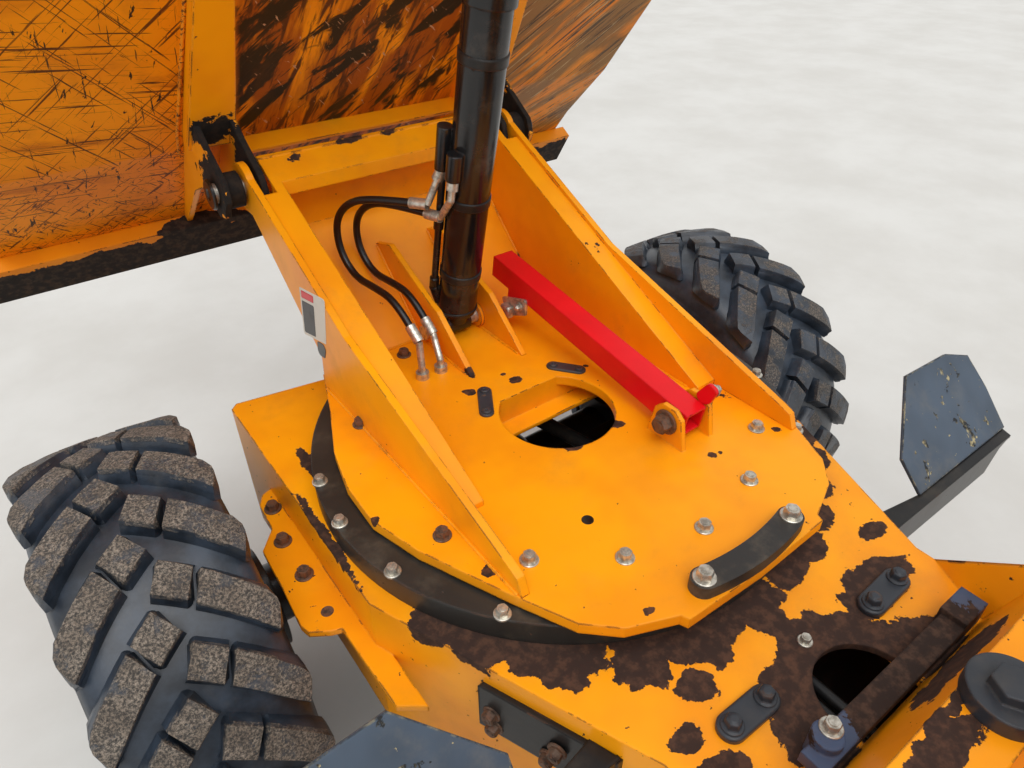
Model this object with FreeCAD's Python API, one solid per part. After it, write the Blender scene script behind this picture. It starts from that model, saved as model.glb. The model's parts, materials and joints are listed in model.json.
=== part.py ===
"""Swivel-skip site dumper: every solid of the machine, one STEP file per node.

Millimetres. Drawing frame: X to the machine's left, Y to its back, Z up, with
the turntable's centre over X = Y = 0 and the ground at Z = 0. On export all is
moved along Y, so that the origin is the bottom centre of the machine's box.
"""
import FreeCAD
import Part
import math
import os

V = FreeCAD.Vector

# Running gap of pins, hubs and rings
FIT = 0.3

# Wheels and axles
WHEEL_R = 422.5
TYRE_W = 290.0
TYRE_FACETS = 20
LUGS_PER_SIDE = 20
LUG_H = 26.0
LUG_W = 46.0
LUG_DEG = 42.0
CROWN_DROP = 9.0
SHOULDER_DROP = 34.0
RIM_R = 194.0
RIM_HALF_W = 103.0
RIM_WALL = 14.0
RIM_DISC_X = 20.0
HALF_TRACK = 715.0
FRONT_AXLE_Y = -254.0
PIVOT_Y = 775.0
REAR_AXLE_Y = 2 * PIVOT_Y - FRONT_AXLE_Y
AXLE_Z = WHEEL_R
AXLE_TUBE_R = 62.0
HUB_R = 105.0
HUB_L = 185.0
SPIGOT_R = 40.0
DIFF_R = 150.0
DIFF_HALF_W = 130.0
PINION_R = 45.0
AXLE_PAD = 110.0
AXLE_PAD_HALF_Y = 62.0
SHAFT_Z = 400.0
SHAFT_R = 25.0
JOINT_R = 30.0
JOINT_L = 33.0
JOINT_GAP = 12.0

# Front frame: an open-bottomed box with a tapered tail
DECK_Z = 741.0
DECK_T = 12.0
WEB_T = 12.0
FRAME_BOTTOM_Z = 430.0
DECK_X = 468.0
DECK_FRONT_Y = -478.0
TAPER_Y = 128.0
TAIL_X = 290.0
TAIL_Y = 560.0
DECK_END_Y = 702.0
WELL_R = 270.0
WING_X = HALF_TRACK - TYRE_W / 2 - 20.0
WING_Z = 640.0
ARCH_R = 110.0
D_HOLE_R = 75.0
D_HOLE_Y = 658.0

# Raised housing of the articulation pin
HOUSING_FOOT_Y = 690.0
RIDGE_Y = 735.0
RIDGE_Z = 880.0
RIDGE_X = 262.0
HOUSING_END_Y = 812.0
HOUSING_END_X = 230.0
HOUSING_FOOT_X = 235.0
HOUSING_TOP_T = 20.0
HOUSING_IN_X = 222.0
CHEEK_END_Y = 790.0
KNUCKLE_R = 46.0
KNUCKLE_TOP_Z = 795.0
KNUCKLE_BOTTOM_Z = 500.0
HINGE_PLATE_Z = 470.0
ART_PIN_R = 28.0
ART_CAP_R = 47.0
ART_CAP_T = 22.0
ART_HEX_R = 26.0
ART_HEX_H = 14.0

# Steering cylinder on the right-hand side
STEER_Z = 560.0
STEER_FRONT = (-372.0, 645.0)
STEER_REAR = (-345.0, 1360.0)
STEER_BARREL_R = 25.0
STEER_ROD_R = 14.0
STEER_EYE_R = 24.0
STEER_LUG_T = 18.0
STEER_LUG_HALF = 60.0
STEER_BARREL_L = 480.0
STEER_BORE = (30.0, 458.0)
STEER_PISTON = (236.0, 252.0)

# Slewing ring and cylinder
RING_OUT_R = 453.0
RING_MID_R = 385.0
RING_IN_R = 300.0
RING_TOP_Z = 783.0
SLEW_Z = 620.0
SLEW_LEAN = -0.21
SLEW_X = -144.0

# Front mudguards
GUARD_SLOPE = -1.083
GUARD_Z = 761.0
GUARD_Y = 438.0
GUARD_T = 6.0
ARM_Z = 700.0
ARM_Y = 487.0
ARM_LIP = 23.0
ARM_DROP = 62.0
ARM_OUT_X = 723.0
BRACKET_Y = (315.0, 512.0)
BRACKET_Z = (606.0, 704.0)
BRACKET_T = 10.0

# Turntable and turret
PLATE_Z = 809.5
PLATE_T = 20.0
HOLE_R = 109.0
HOLE_FLAT_Y = -85.0
SIDE_IN_X = 298.0
SIDE_T = 14.0
WALL_X = 251.0
WALL_T = 8.0
FOLD_Y = -370.0
FLOOR_SLOPE = -0.93
FLANGE_SLOPE = -0.4925
FLANGE_Z = 819.5
FLANGE_Y = 120.0
FLANGE_T = 8.0
TURRET_FRONT_Y = -610.0
BEAM_Y = -540.0
BEAM_LIP = 28.0
LUG_SLOT_Y = -520.0
RIB_X = 58.0
RIB_T = 12.0
RIB_BOSS_R = 27.0
PAD_R = 448.0
PAD_HALF = 20.0
PAD_BOLT_X = 98.0
PAD_T = 22.0

# Skip and its tipping pivot
TIP_Y = -590.0
TIP_Z = 1132.0
TIP_DEG = 58.0
TIP_PIN_R = 19.0
BOSS_R = 47.0
SKIP_HALF_W = 820.0
SKIP_NECK_HALF_W = 745.0
SKIP_NECK = (-220.0, 165.0)
SKIP_RAMP = (-420.0, -50.0)
SKIP_RAMP_RISE = 54.0
LIP_HALF_W = 775.0
LIP_A = (-410.0, -300.0)
SKIP_FLOOR_B = 160.0
SKIP_T = 8.0
SKIP_DEPTH = 470.0
SKIP_BACK = 1290.0
SKIP_RIB_B = 110.0
SKIP_RIB_X = (278.0, 372.0)
SKIP_LUG_X = (352.0, 364.0)
SKIP_BUSH = (318.0, 34.0)
RIB_BEND_A = 320.0
RIB_BEND_X = (278.0, 344.0)
RIB_END_A = 1050.0
RIB_END_X = (240.0, 300.0)
LUG_T = 12.0
RIM_BAR = 14.0
RIM_BAR_H = 40.0

# Tipping ram
RAM_BASE = (-345.0, 837.0)
RAM_EYE_AB = (963.0, 3.0)
BARREL_R = 40.0
BARREL_BORE_R = 30.0
BARREL_L = 690.0
ROD_R = 22.0
PISTON_D = 600.0
RAM_PIN_R = 16.0
RAM_FOOT_R = 22.0
RAM_NECK_R = 26.0
RAM_EYE_R = 30.0
RAM_EYE_HALF = 32.0
PIPE_R = 7.0
PIPE_X = 40.0
PIPE_Y = -32.0
HOSE_R = 7.5
FERRULE_R = 10.5
FERRULE_L = 36.0
NUT_R = 13.0

# Safety prop
PROP_PIN = (180.0, 851.0)
PROP_PIN_R = 10.0
PROP_X = -136.0
PROP_W = 48.0
PROP_WALL = 4.0
PROP_L = 545.0
PROP_TAIL = 26.0
PROP_DEG = 8.4
PROP_EAR_T = 10.0

# Rear frame and platform
REAR_HALF_W = 262.0
RAIL_T = 14.0
RAIL_BOTTOM_Z = 440.0
FLOOR_Z = 640.0
REAR_END_Y = 2480.0
BULKHEAD_Y = 944.0
BULKHEAD_X = 250.0
BULKHEAD_TOP_Z = 860.0
NECK_HALF = 42.0
PLAT_X = 545.0
PLAT_Y0 = BULKHEAD_Y + RAIL_T
PLAT_Y1 = 1372.0
PLAT_T = 8.0
STEP_X = (430.0, 540.0)
STEP_Y = (1010.0, 1330.0)
STEP_Z = 372.0

# Driver's place
CONSOLE_X = 210.0
CONSOLE_Y = 990.0
CONSOLE_Z = 1060.0
WHEEL_C = (1262.0, 1262.0)
WHEEL_TILT = 35.0
HANDWHEEL_R = 175.0
HANDWHEEL_T = 13.0
SEAT_X = 240.0
SEAT_BASE_X = 290.0
SEAT_BASE_Y = (1400.0, 1830.0)
SEAT_Z = 930.0
CUSHION_H = 100.0

# Engine, bonnet and roll bar
ENGINE_X = 220.0
ENGINE_Y = (1850.0, 2420.0)
ENGINE_TOP_Z = 1020.0
EXHAUST_X = 312.0
HOOD_X = 395.0
HOOD_Y = (1965.0, 2560.0)
HOOD_Z = 1140.0
HOOD_BOTTOM_Z = 700.0
HOOD_T = 5.0
COWL_Y = 1836.0
HINGE_R = 14.0
HINGE_PIN_R = 8.0
GRILLE_X = 270.0
GRILLE_Z = (760.0, 1040.0)
ROPS_X = 440.0
ROPS_Y = 1900.0
ROPS_W = 60.0
ROPS_PIN_R = 12.0
ROPS_PIN_Z = 1290.0
ROPS_TOP = 2660.0
ROPS_FOOT_Z = 560.0
GUARD_REAR_X = (480.0, 850.0)
GUARD_GAP = 40.0
GUARD_REAR_Z = 2 * WHEEL_R + GUARD_GAP
WEIGHT_Y = 120.0
WEIGHT_X = 430.0
TOW_PIN_R = 16.0

# Points of free hoses, chosen by hand: x, y, z
LIFT_HOSE = ((142, -283, 907), (146, -325, 944), (154, -394, 948), (162, -464, 945), (168, -512, 990),
             (166, -512, 1058), (150, -466, 1106), (120, -403, 1122), (85, -341, 1126))
LOWER_HOSE = ((94, -309, 895), (97, -350, 931), (105, -414, 936), (114, -478, 934), (120, -524, 978),
              (118, -524, 1044), (104, -478, 1088), (82, -404, 1101), (60, -329, 1103))

# Half outline of the turntable plate: x, y
PLATE_HALF = ((0, FOLD_Y), (300, FOLD_Y), (337, -261), (385, -142), (406, -51), (409, 43), (383, 138),
              (321, 283), (276, 378), (231, 421), (156, 451), (151, 463), (0, 468))

# Half outline of a mudguard's sloping plate: x, y
GUARD_HALF = ((551, 354), (690, 358), (756, 376), (768, 425), (768, ARM_Y), (447, ARM_Y), (442, GUARD_Y))

# Wheels: name, Y of the axle, side
WHEELS = (("front_left", FRONT_AXLE_Y, 1), ("front_right", FRONT_AXLE_Y, -1),
          ("rear_left", REAR_AXLE_Y, 1), ("rear_right", REAR_AXLE_Y, -1))

NODES = {}


def box(x0, x1, y0, y1, z0, z1):
    """Box between two corners, in any order."""
    low = V(min(x0, x1), min(y0, y1), min(z0, z1))
    return Part.makeBox(abs(x1 - x0), abs(y1 - y0), abs(z1 - z0), low)


def mirror(shape):
    """Mirror image across X = 0."""
    return shape.mirror(V(0, 0, 0), V(1, 0, 0))


def both(shape):
    """The shape and its mirror image across X = 0, fused."""
    return shape.fuse(mirror(shape))


def pair(shape):
    """The shape and its mirror image across X = 0, side by side."""
    return Part.makeCompound([shape, mirror(shape)])


def mirrored(half):
    """Closed outline of a half outline whose ends lie on X = 0."""
    return list(half) + [(-x, y) for x, y in reversed(half) if x > 0]


def polygon(points):
    """Flat face with the given corners."""
    corners = [V(*p) for p in points]
    return Part.Face(Part.makePolygon(corners + corners[:1]))


def prism_yz(points, x0, x1):
    """Polygon of (y, z) points, extruded from x0 to x1."""
    return polygon([(x0, y, z) for y, z in points]).extrude(V(x1 - x0, 0, 0))


def prism_xy(points, z0, z1):
    """Polygon of (x, y) points, extruded from z0 to z1."""
    return polygon([(x, y, z0) for x, y in points]).extrude(V(0, 0, z1 - z0))


def prism_xz(points, y0, y1):
    """Polygon of (x, z) points, extruded from y0 to y1."""
    return polygon([(x, y0, z) for x, z in points]).extrude(V(0, y1 - y0, 0))


def solid_of(faces):
    """Closed solid of flat faces that meet edge to edge."""
    solid = Part.Solid(Part.makeShell([polygon(f) for f in faces]))
    if solid.Volume < 0:
        solid.reverse()
    return solid


def cyl(r, p0, p1):
    """Round bar from p0 to p1."""
    a, b = V(*p0), V(*p1)
    return Part.makeCylinder(r, (b - a).Length, a, b - a)


def tube(r_out, r_in, p0, p1):
    """Round tube from p0 to p1."""
    return cyl(r_out, p0, p1).cut(cyl(r_in, p0, p1))


def cyl_x(r, x0, x1, y, z):
    """Round bar along X."""
    return cyl(r, (x0, y, z), (x1, y, z))


def cyl_z(r, x, y, z0, z1):
    """Round bar along Z."""
    return cyl(r, (x, y, z0), (x, y, z1))


def fuse(shapes):
    """All shapes as one, with the seams taken out."""
    return shapes[0].multiFuse(shapes[1:]).removeSplitter()


def revolve_x(profile, x, y, z):
    """Turn (x offset, radius) points about an X axis through (y, z)."""
    face = polygon([(x + dx, y, z + r) for dx, r in profile])
    return face.revolve(V(x, y, z), V(1, 0, 0), 360)


def hose(points, r):
    """Solid tube of straight runs and tangent arcs; prints length, radii and volume."""
    pts = [V(*p) for p in points]
    edges = []
    radii = []
    start = pts[0]
    for before, corner, after in zip(pts, pts[1:], pts[2:]):
        back, ahead = before - corner, after - corner
        cut = 0.45 * min(back.Length, ahead.Length)
        back.normalize()
        ahead.normalize()
        turn = math.pi - back.getAngle(ahead)
        radius = cut / math.tan(turn / 2)
        radii.append(round(radius, 1))
        inward = back + ahead
        inward.normalize()
        middle = corner + inward * (radius / math.cos(turn / 2) - radius)
        arc_start, arc_end = corner + back * cut, corner + ahead * cut
        edges.append(Part.LineSegment(start, arc_start).toShape())
        edges.append(Part.Arc(arc_start, middle, arc_end).toShape())
        start = arc_end
    edges.append(Part.LineSegment(start, pts[-1]).toShape())
    wire = Part.Wire(edges)
    section = Part.Wire(Part.makeCircle(r, pts[0], pts[1] - pts[0]))
    solid = wire.makePipeShell([section], True, True)
    ratio = solid.Volume / (math.pi * r * r * wire.Length)
    print("hose length", round(wire.Length, 1), "radii", radii, "volume ratio", round(ratio, 4))
    return solid


def crown(x):
    """Radius of the tread's crown at a distance from the tyre's middle."""
    return WHEEL_R - CROWN_DROP * (x / (TYRE_W / 2)) ** 2


def tread_lug():
    """One chevron lug of the left half, straight above the axle, as a flat-faced bar."""
    turn = math.radians(LUG_DEG)
    half_w = TYRE_W / 2
    corner_x = LUG_W / 2 * math.sin(turn)
    half_run = (half_w / 2 - corner_x) / math.cos(turn)
    shoulder = half_run - LUG_W / 2
    foot = WHEEL_R - LUG_H - 2 * SHOULDER_DROP

    def top(s):
        side = abs(s) * math.sin(turn) + LUG_W / 2 * math.cos(turn)
        return math.sqrt(crown(half_w / 2 - corner_x + s * math.cos(turn)) ** 2 - side ** 2)

    profile = ((-half_run, foot), (-half_run, top(-half_run)), (0, top(0)), (shoulder, top(shoulder)),
               (half_run, top(half_run) - SHOULDER_DROP), (half_run, foot))
    bar = prism_xz(profile, -LUG_W / 2, LUG_W / 2)
    bar.rotate(V(0, 0, 0), V(0, 0, 1), LUG_DEG)
    bar.translate(V(half_w / 2, 0, 0))
    lowest = math.atan2(half_run * math.sin(turn) + LUG_W / 2 * math.cos(turn), top(-half_run))
    bar.rotate(V(0, 0, 0), V(1, 0, 0), 180 - math.degrees(lowest))
    return bar


def tyre():
    """Tyre about the X axis through the origin: a faceted casing with its lugs."""
    bead = (RIM_R + FIT) / math.cos(math.pi / TYRE_FACETS)
    half_w = TYRE_W / 2
    casing_r = WHEEL_R - LUG_H
    right = ((half_w - 20, casing_r - 12), (half_w - 6, (casing_r + bead) / 2), (RIM_HALF_W + 2, bead))
    section = [(x, r) for x, r in right] + [(-x, r) for x, r in reversed(right)] + [(0, casing_r)]
    rings = []
    for i in range(TYRE_FACETS):
        a = 2 * math.pi * i / TYRE_FACETS
        rings.append([(x, r * math.sin(a), r * math.cos(a)) for x, r in section])
    faces = []
    for ring, after in zip(rings, rings[1:] + rings[:1]):
        for j in range(len(section)):
            faces.append((ring[j - 1], ring[j], after[j], after[j - 1]))
    pitch = 360 / LUGS_PER_SIDE
    lug = tread_lug()
    other = mirror(lug)
    lugs = []
    for i in range(LUGS_PER_SIDE):
        lugs.append(lug.rotated(V(0, 0, 0), V(1, 0, 0), i * pitch))
        lugs.append(other.rotated(V(0, 0, 0), V(1, 0, 0), (i + 0.5) * pitch))
    return solid_of(faces).multiFuse(lugs)


def rim(x, y, side):
    """Dished rim; side is +1 for a wheel on the left, -1 on the right."""
    bore = SPIGOT_R
    profile = ((-RIM_HALF_W, RIM_R), (RIM_HALF_W, RIM_R), (RIM_HALF_W, RIM_R - RIM_WALL),
               (RIM_DISC_X, RIM_R - 2 * RIM_WALL), (RIM_DISC_X, bore + 30), (RIM_DISC_X + 35, bore + 22),
               (RIM_DISC_X + 35, bore), (RIM_DISC_X - RIM_WALL, bore),
               (RIM_DISC_X - RIM_WALL, RIM_R - 2 * RIM_WALL), (-RIM_HALF_W, RIM_R - RIM_WALL))
    return revolve_x([(side * dx, r) for dx, r in profile], x, y, AXLE_Z)


def axle(y, nose, nose_end, pad_x, pad_top):
    """Drive axle with hubs, saddle pads and a pinion nose; nose is +1 or -1 along Y."""
    inner = HALF_TRACK + RIM_DISC_X - RIM_WALL - FIT
    parts = [cyl_x(AXLE_TUBE_R, -inner + HUB_L / 2, inner - HUB_L / 2, y, AXLE_Z)]
    half = AXLE_PAD / 2
    for side in (-1, 1):
        parts.append(cyl_x(HUB_R, side * (inner - HUB_L), side * inner, y, AXLE_Z))
        parts.append(cyl_x(SPIGOT_R - FIT, side * inner, side * (inner + 52), y, AXLE_Z))
        parts.append(box(side * pad_x - half, side * pad_x + half, y - AXLE_PAD_HALF_Y, y + AXLE_PAD_HALF_Y,
                         AXLE_Z, pad_top))
    case = Part.makeSphere(DIFF_R, V(0, y, AXLE_Z))
    cover = DIFF_R - 10
    parts.append(case.common(box(-DIFF_HALF_W, DIFF_HALF_W, y - cover, y + cover, AXLE_Z - cover,
                                 AXLE_Z + cover)))
    parts.append(cyl(PINION_R, (0, y + nose * cover / 2, SHAFT_Z), (0, nose_end, SHAFT_Z)))
    return fuse(parts)


def chassis_x(y):
    """Half width of the front frame at a place along it."""
    share = (y - TAPER_Y) / (TAIL_Y - TAPER_Y)
    return DECK_X + (TAIL_X - DECK_X) * min(max(share, 0), 1)


def front_outline():
    """Plan outline of the front frame."""
    nose = ((0, DECK_FRONT_Y + 33), (262, DECK_FRONT_Y + 30), (DECK_X - 14, DECK_FRONT_Y),
            (DECK_X, DECK_FRONT_Y + 14))
    tail = ((DECK_X, TAPER_Y), (TAIL_X, TAIL_Y), (TAIL_X, DECK_END_Y), (0, DECK_END_Y))
    return mirrored(nose + tail)


def front_box():
    """Deck and webs of the front frame, with the ring's well and the rear hole."""
    outer = front_outline()
    shell = prism_xy(outer, FRAME_BOTTOM_Z, DECK_Z)
    inner = polygon([(x, y, FRAME_BOTTOM_Z) for x, y in outer]).makeOffset2D(-WEB_T)
    shell = shell.cut(inner.extrude(V(0, 0, DECK_Z - DECK_T - FRAME_BOTTOM_Z)))
    rear_hole = cyl_z(D_HOLE_R, 0, D_HOLE_Y, FRAME_BOTTOM_Z, DECK_Z)
    rear_hole = rear_hole.common(box(-D_HOLE_R, D_HOLE_R, 0, DECK_END_Y - WEB_T, FRAME_BOTTOM_Z, DECK_Z))
    arch = cyl_x(ARCH_R, -WING_X, WING_X, FRONT_AXLE_Y, AXLE_Z)
    return shell.cut(cyl_z(WELL_R, 0, 0, FRAME_BOTTOM_Z, DECK_Z)).cut(rear_hole).cut(arch)


def axle_wings():
    """Flanges outboard of the webs, bolted over the front axle's saddle pads."""
    wide = WING_X - 6
    steps = ((DECK_X - WEB_T, -318), (DECK_X, -310), (DECK_X + 20, -302), (DECK_X + 34, -278),
             (DECK_X + 38, -206), (wide - 4, -164), (wide, -62), (WING_X, 24), (WING_X - 5, 43),
             (DECK_X + 48, 62), (DECK_X + 30, 69), (DECK_X + 26, 238), (DECK_X - WEB_T, 266))
    plate = prism_xy([(x, y) for x, y in steps], WING_Z - WEB_T, WING_Z)
    post = box(DECK_X - WEB_T, DECK_X - AXLE_PAD / 2 - 38, FRONT_AXLE_Y - 70, FRONT_AXLE_Y + 70,
               AXLE_Z + ARCH_R - 20, WING_Z)
    return both(plate.fuse(post))


def pin_housing():
    """Raised, folded housing over the articulation pin, hollow from behind."""
    tail = (TAIL_X, HOUSING_FOOT_Y - 100, DECK_Z)
    foot = (HOUSING_FOOT_X, HOUSING_FOOT_Y, DECK_Z)
    ridge = (RIDGE_X, RIDGE_Y, RIDGE_Z)
    top = (HOUSING_END_X, HOUSING_END_Y, RIDGE_Z)
    end = (HOUSING_END_X, HOUSING_END_Y, DECK_Z)

    def other(p):
        return (-p[0], p[1], p[2])

    faces = [(foot, ridge, other(ridge), other(foot)), (ridge, top, other(top), other(ridge)),
             (top, end, other(end), other(top)), (tail, foot, other(foot), other(tail), other(end), end)]
    for point in (lambda p: p, other):
        faces.append([point(p) for p in (tail, ridge, foot)])
        faces.append([point(p) for p in (tail, end, ridge)])
        faces.append([point(p) for p in (end, top, ridge)])
    housing = solid_of(faces)
    slope = (RIDGE_Y - HOUSING_FOOT_Y) / (RIDGE_Z - DECK_Z)
    inner_z = RIDGE_Z - HOUSING_TOP_T
    wall_y = DECK_END_Y
    low_z = HINGE_PLATE_Z + HOUSING_TOP_T
    step_z = DECK_Z + WEB_T
    cavity = ((wall_y, low_z), (wall_y, step_z), (wall_y + slope * (inner_z - step_z), inner_z),
              (HOUSING_END_Y + 1, inner_z), (HOUSING_END_Y + 1, low_z))
    cheeks = box(HOUSING_IN_X, BULKHEAD_X, DECK_END_Y, CHEEK_END_Y, HINGE_PLATE_Z, DECK_Z)
    plate = ((HOUSING_IN_X, DECK_END_Y), (HOUSING_IN_X, CHEEK_END_Y), (0, HOUSING_END_Y))
    sole = prism_xy(mirrored(((0, DECK_END_Y),) + plate), HINGE_PLATE_Z, low_z)
    return fuse([housing.cut(prism_yz(cavity, -HOUSING_IN_X, HOUSING_IN_X)), both(cheeks), sole])


def steer_lugs(pin, inner_x):
    """Two flat lugs over and under a steering cylinder's eye, with the pin's ends."""
    x, y = pin
    half = STEER_LUG_HALF
    parts = []
    for side in (-1, 1):
        near = STEER_Z + side * 30
        far = STEER_Z + side * (30 + STEER_LUG_T)
        parts.append(box(x - half, inner_x, y - half, y + half, near, far))
        parts.append(cyl_z(20, x, y, far, far + side * 10))
    return parts


def front_frame():
    """Front frame with its wings, pin housing and steering lugs."""
    frame = fuse([front_box(), axle_wings(), pin_housing()] + steer_lugs(STEER_FRONT, -TAIL_X + WEB_T / 2))
    return frame.cut(cyl_z(ART_PIN_R, 0, PIVOT_Y, FRAME_BOTTOM_Z, RIDGE_Z + 1))


def slewing_cylinder():
    """Cylinder under the deck that turns the ring: barrel, rod and hanging bracket."""
    def at(y):
        return (SLEW_X + SLEW_LEAN * y, y, SLEW_Z)

    eye_x = at(330)[0]
    bracket = box(eye_x - 20, eye_x + 20, 305, 355, SLEW_Z, DECK_Z - DECK_T)
    foot_x = at(-260)[0]
    lever = box(foot_x - 25, foot_x + 25, -290, -230, SLEW_Z - 12, SLEW_Z + 12)
    stay = box(foot_x - 25, foot_x + 25, -290, DECK_FRONT_Y + 33 + WEB_T, SLEW_Z - 12, SLEW_Z + 12)
    return fuse([cyl(35, at(40), at(330)), bracket, lever, stay, cyl(16, at(-230), at(40))])


def transit_pipes():
    """Two pipes under the deck, seen through its rear hole, clipped to a hanger."""
    pipes = [cyl(9, (x, 470, 700), (x, DECK_END_Y - WEB_T, 700)) for x in (20, 46)]
    hanger = box(-2, 68, 500, 512, 688, DECK_Z - DECK_T)
    return fuse(pipes + [hanger])


def guard_z(y):
    """Height of a front mudguard's sloping plate."""
    return GUARD_Z + GUARD_SLOPE * (y - GUARD_Y)


def mudguard_plate():
    """Left mudguard: a flat plate that rises to the front, with two bends."""
    steep = (0, -GUARD_SLOPE * GUARD_T / math.hypot(1, GUARD_SLOPE), GUARD_T / math.hypot(1, GUARD_SLOPE))
    face = polygon([(x, y, guard_z(y)) for x, y in GUARD_HALF])
    return face.extrude(V(*steep))


def mudguard_arm():
    """Left mudguard's folded arm and its bolted plate on the frame's web."""
    low = guard_z(ARM_Y)
    rear = ARM_Y + ARM_LIP
    root = chassis_x(rear - GUARD_T)
    flange = prism_xy([(root, rear), (chassis_x(ARM_Y - 20), ARM_Y - 20), (447, ARM_Y), (768, ARM_Y),
                       (758, rear)], low - GUARD_T, low)
    web = prism_xz([(root, low), (root, ARM_Z - 10), (406, ARM_Z - ARM_DROP), (701, ARM_Z - ARM_DROP),
                    (ARM_OUT_X, ARM_Z - 8), (758, low)], rear - GUARD_T, rear)
    y0, y1 = BRACKET_Y
    plate = prism_xy([(chassis_x(y0), y0), (chassis_x(y0) + BRACKET_T, y0), (chassis_x(y1) + BRACKET_T, y1),
                      (chassis_x(y1), y1)], BRACKET_Z[0], BRACKET_Z[1])
    return fuse([flange, web, plate])


def lock_bar():
    """Articulation lock bar lying on the deck, with its bolt and end block."""
    x_right, x_left = -225, 162
    y0, y1 = HOUSING_FOOT_Y - 36, HOUSING_FOOT_Y - 2
    lift = 12
    strip = box(x_right, x_left, y0, y1, DECK_Z + lift, DECK_Z + lift + 20)
    block = box(x_right, x_right + 60, y0 - 4, y1, DECK_Z, DECK_Z + lift + 30)
    bolt = cyl_z(20, 126, y0 + 10, DECK_Z, DECK_Z + lift + 32)
    return fuse([strip, block, bolt])


def articulation_pin():
    """Pin through both frames' knuckles, with its round cap and hexagon head."""
    turns = [math.radians(60 * i) for i in range(6)]
    corners = [(ART_HEX_R * math.cos(t), PIVOT_Y + ART_HEX_R * math.sin(t)) for t in turns]
    hexagon = prism_xy(corners, RIDGE_Z + ART_CAP_T, RIDGE_Z + ART_CAP_T + ART_HEX_H)
    return fuse([cyl_z(ART_PIN_R, 0, PIVOT_Y, HINGE_PLATE_Z - 20, RIDGE_Z),
                 cyl_z(ART_CAP_R, 0, PIVOT_Y, RIDGE_Z, RIDGE_Z + ART_CAP_T), hexagon])


def plate_hole():
    """Round hole in the turntable with a flat front."""
    flat = box(-HOLE_R, HOLE_R, -2 * HOLE_R, HOLE_FLAT_Y, DECK_Z, PLATE_Z + 1)
    return cyl_z(HOLE_R, 0, 0, DECK_Z, PLATE_Z + 1).cut(flat)


def turntable_plate():
    """Turntable plate with its hub ring, a cross beam below and the prop's ears."""
    under = PLATE_Z - PLATE_T
    plate = prism_xy(mirrored(PLATE_HALF), under, PLATE_Z).cut(plate_hole())
    hub = tube(RING_MID_R - FIT, RING_IN_R, (0, 0, DECK_Z + 4), (0, 0, under))
    beam = box(-RING_IN_R - 5, RING_IN_R + 5, HOLE_FLAT_Y, HOLE_FLAT_Y + 40, DECK_Z + 6, DECK_Z + 14)
    beam = beam.fuse(box(-RING_IN_R - 5, RING_IN_R + 5, HOLE_FLAT_Y - 8, HOLE_FLAT_Y, DECK_Z + 6, under))
    y, z = PROP_PIN
    ear = [(y + 42, PLATE_Z), (y + 30, z + 16), (y + 14, z + 30)]
    ear += [(2 * y - at, height) for at, height in reversed(ear)]
    near = PROP_W / 2 + 6
    ears = [prism_yz(ear, PROP_X + s * near, PROP_X + s * (near + PROP_EAR_T)) for s in (-1, 1)]
    return fuse([plate, hub, beam] + ears).cut(cyl_x(PROP_PIN_R, PROP_X - PROP_W, PROP_X + PROP_W, y, z))


def flange_z(y):
    """Height of the trough's sloping top flange."""
    return FLANGE_Z + FLANGE_SLOPE * (y - FLANGE_Y)


def floor_z(y):
    """Height of the trough's sloping floor."""
    return PLATE_Z + FLOOR_SLOPE * (y - FOLD_Y)


def turret_side():
    """Outer side plate of the turret, ending in the round boss of the tip pivot."""
    nose = [(300, PLATE_Z), (288, 838), (270, 845), (-200, 985), (TIP_Y, TIP_Z + BOSS_R - 2)]
    heel = [(TIP_Y, TIP_Z - BOSS_R), (-564, 1084), (-323, 884), (-333, PLATE_Z)]
    plate = prism_yz(nose + heel, SIDE_IN_X, SIDE_IN_X + SIDE_T)
    return plate.fuse(cyl_x(BOSS_R, SIDE_IN_X, SIDE_IN_X + SIDE_T, TIP_Y, TIP_Z))


def trough():
    """Walls, sloping flanges, floor and front beam of the turret's trough."""
    front, fold = TURRET_FRONT_Y, FOLD_Y
    wall = prism_yz([(FLANGE_Y, PLATE_Z), (fold, PLATE_Z), (front, floor_z(front)),
                     (front, flange_z(front) - FLANGE_T), (FLANGE_Y - 10, FLANGE_Z - 3)],
                    WALL_X, WALL_X + WALL_T)
    flange = prism_yz([(FLANGE_Y, PLATE_Z), (FLANGE_Y, FLANGE_Z), (front, flange_z(front)),
                       (front, flange_z(front) - FLANGE_T), (FLANGE_Y - 16, PLATE_Z)], WALL_X, SIDE_IN_X)
    floor = prism_yz([(fold, PLATE_Z - WALL_T), (fold, PLATE_Z), (front, floor_z(front)),
                      (front, floor_z(front) - FLANGE_T - 4)], -WALL_X - WALL_T, WALL_X + WALL_T)
    back = BEAM_Y - FLANGE_T
    lip_z = flange_z(BEAM_Y) - BEAM_LIP
    top = [(y, flange_z(y)) for y in (BEAM_Y, front)]
    under = [(y, flange_z(y) - FLANGE_T) for y in (front, back)]
    beam = prism_yz(top + under + [(back, lip_z), (BEAM_Y, lip_z)], -SIDE_IN_X, SIDE_IN_X)
    apron = box(-SIDE_IN_X, SIDE_IN_X, front, front + 10, floor_z(front) - 12, flange_z(front) - 2)
    return [both(wall), both(flange), floor, beam, apron]


def ram_rib():
    """Rib beside the ram's foot, with the boss of its pin."""
    y, z = RAM_BASE
    rib = prism_yz([(-184, PLATE_Z), (-300, 905), (-330, 915), (-480, 985), (BEAM_Y, floor_z(BEAM_Y)),
                    (FOLD_Y, PLATE_Z)], RIB_X, RIB_X + RIB_T)
    return rib.fuse(cyl_x(RIB_BOSS_R, RIB_X - 8, RIB_X + RIB_T, y, z))


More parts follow.
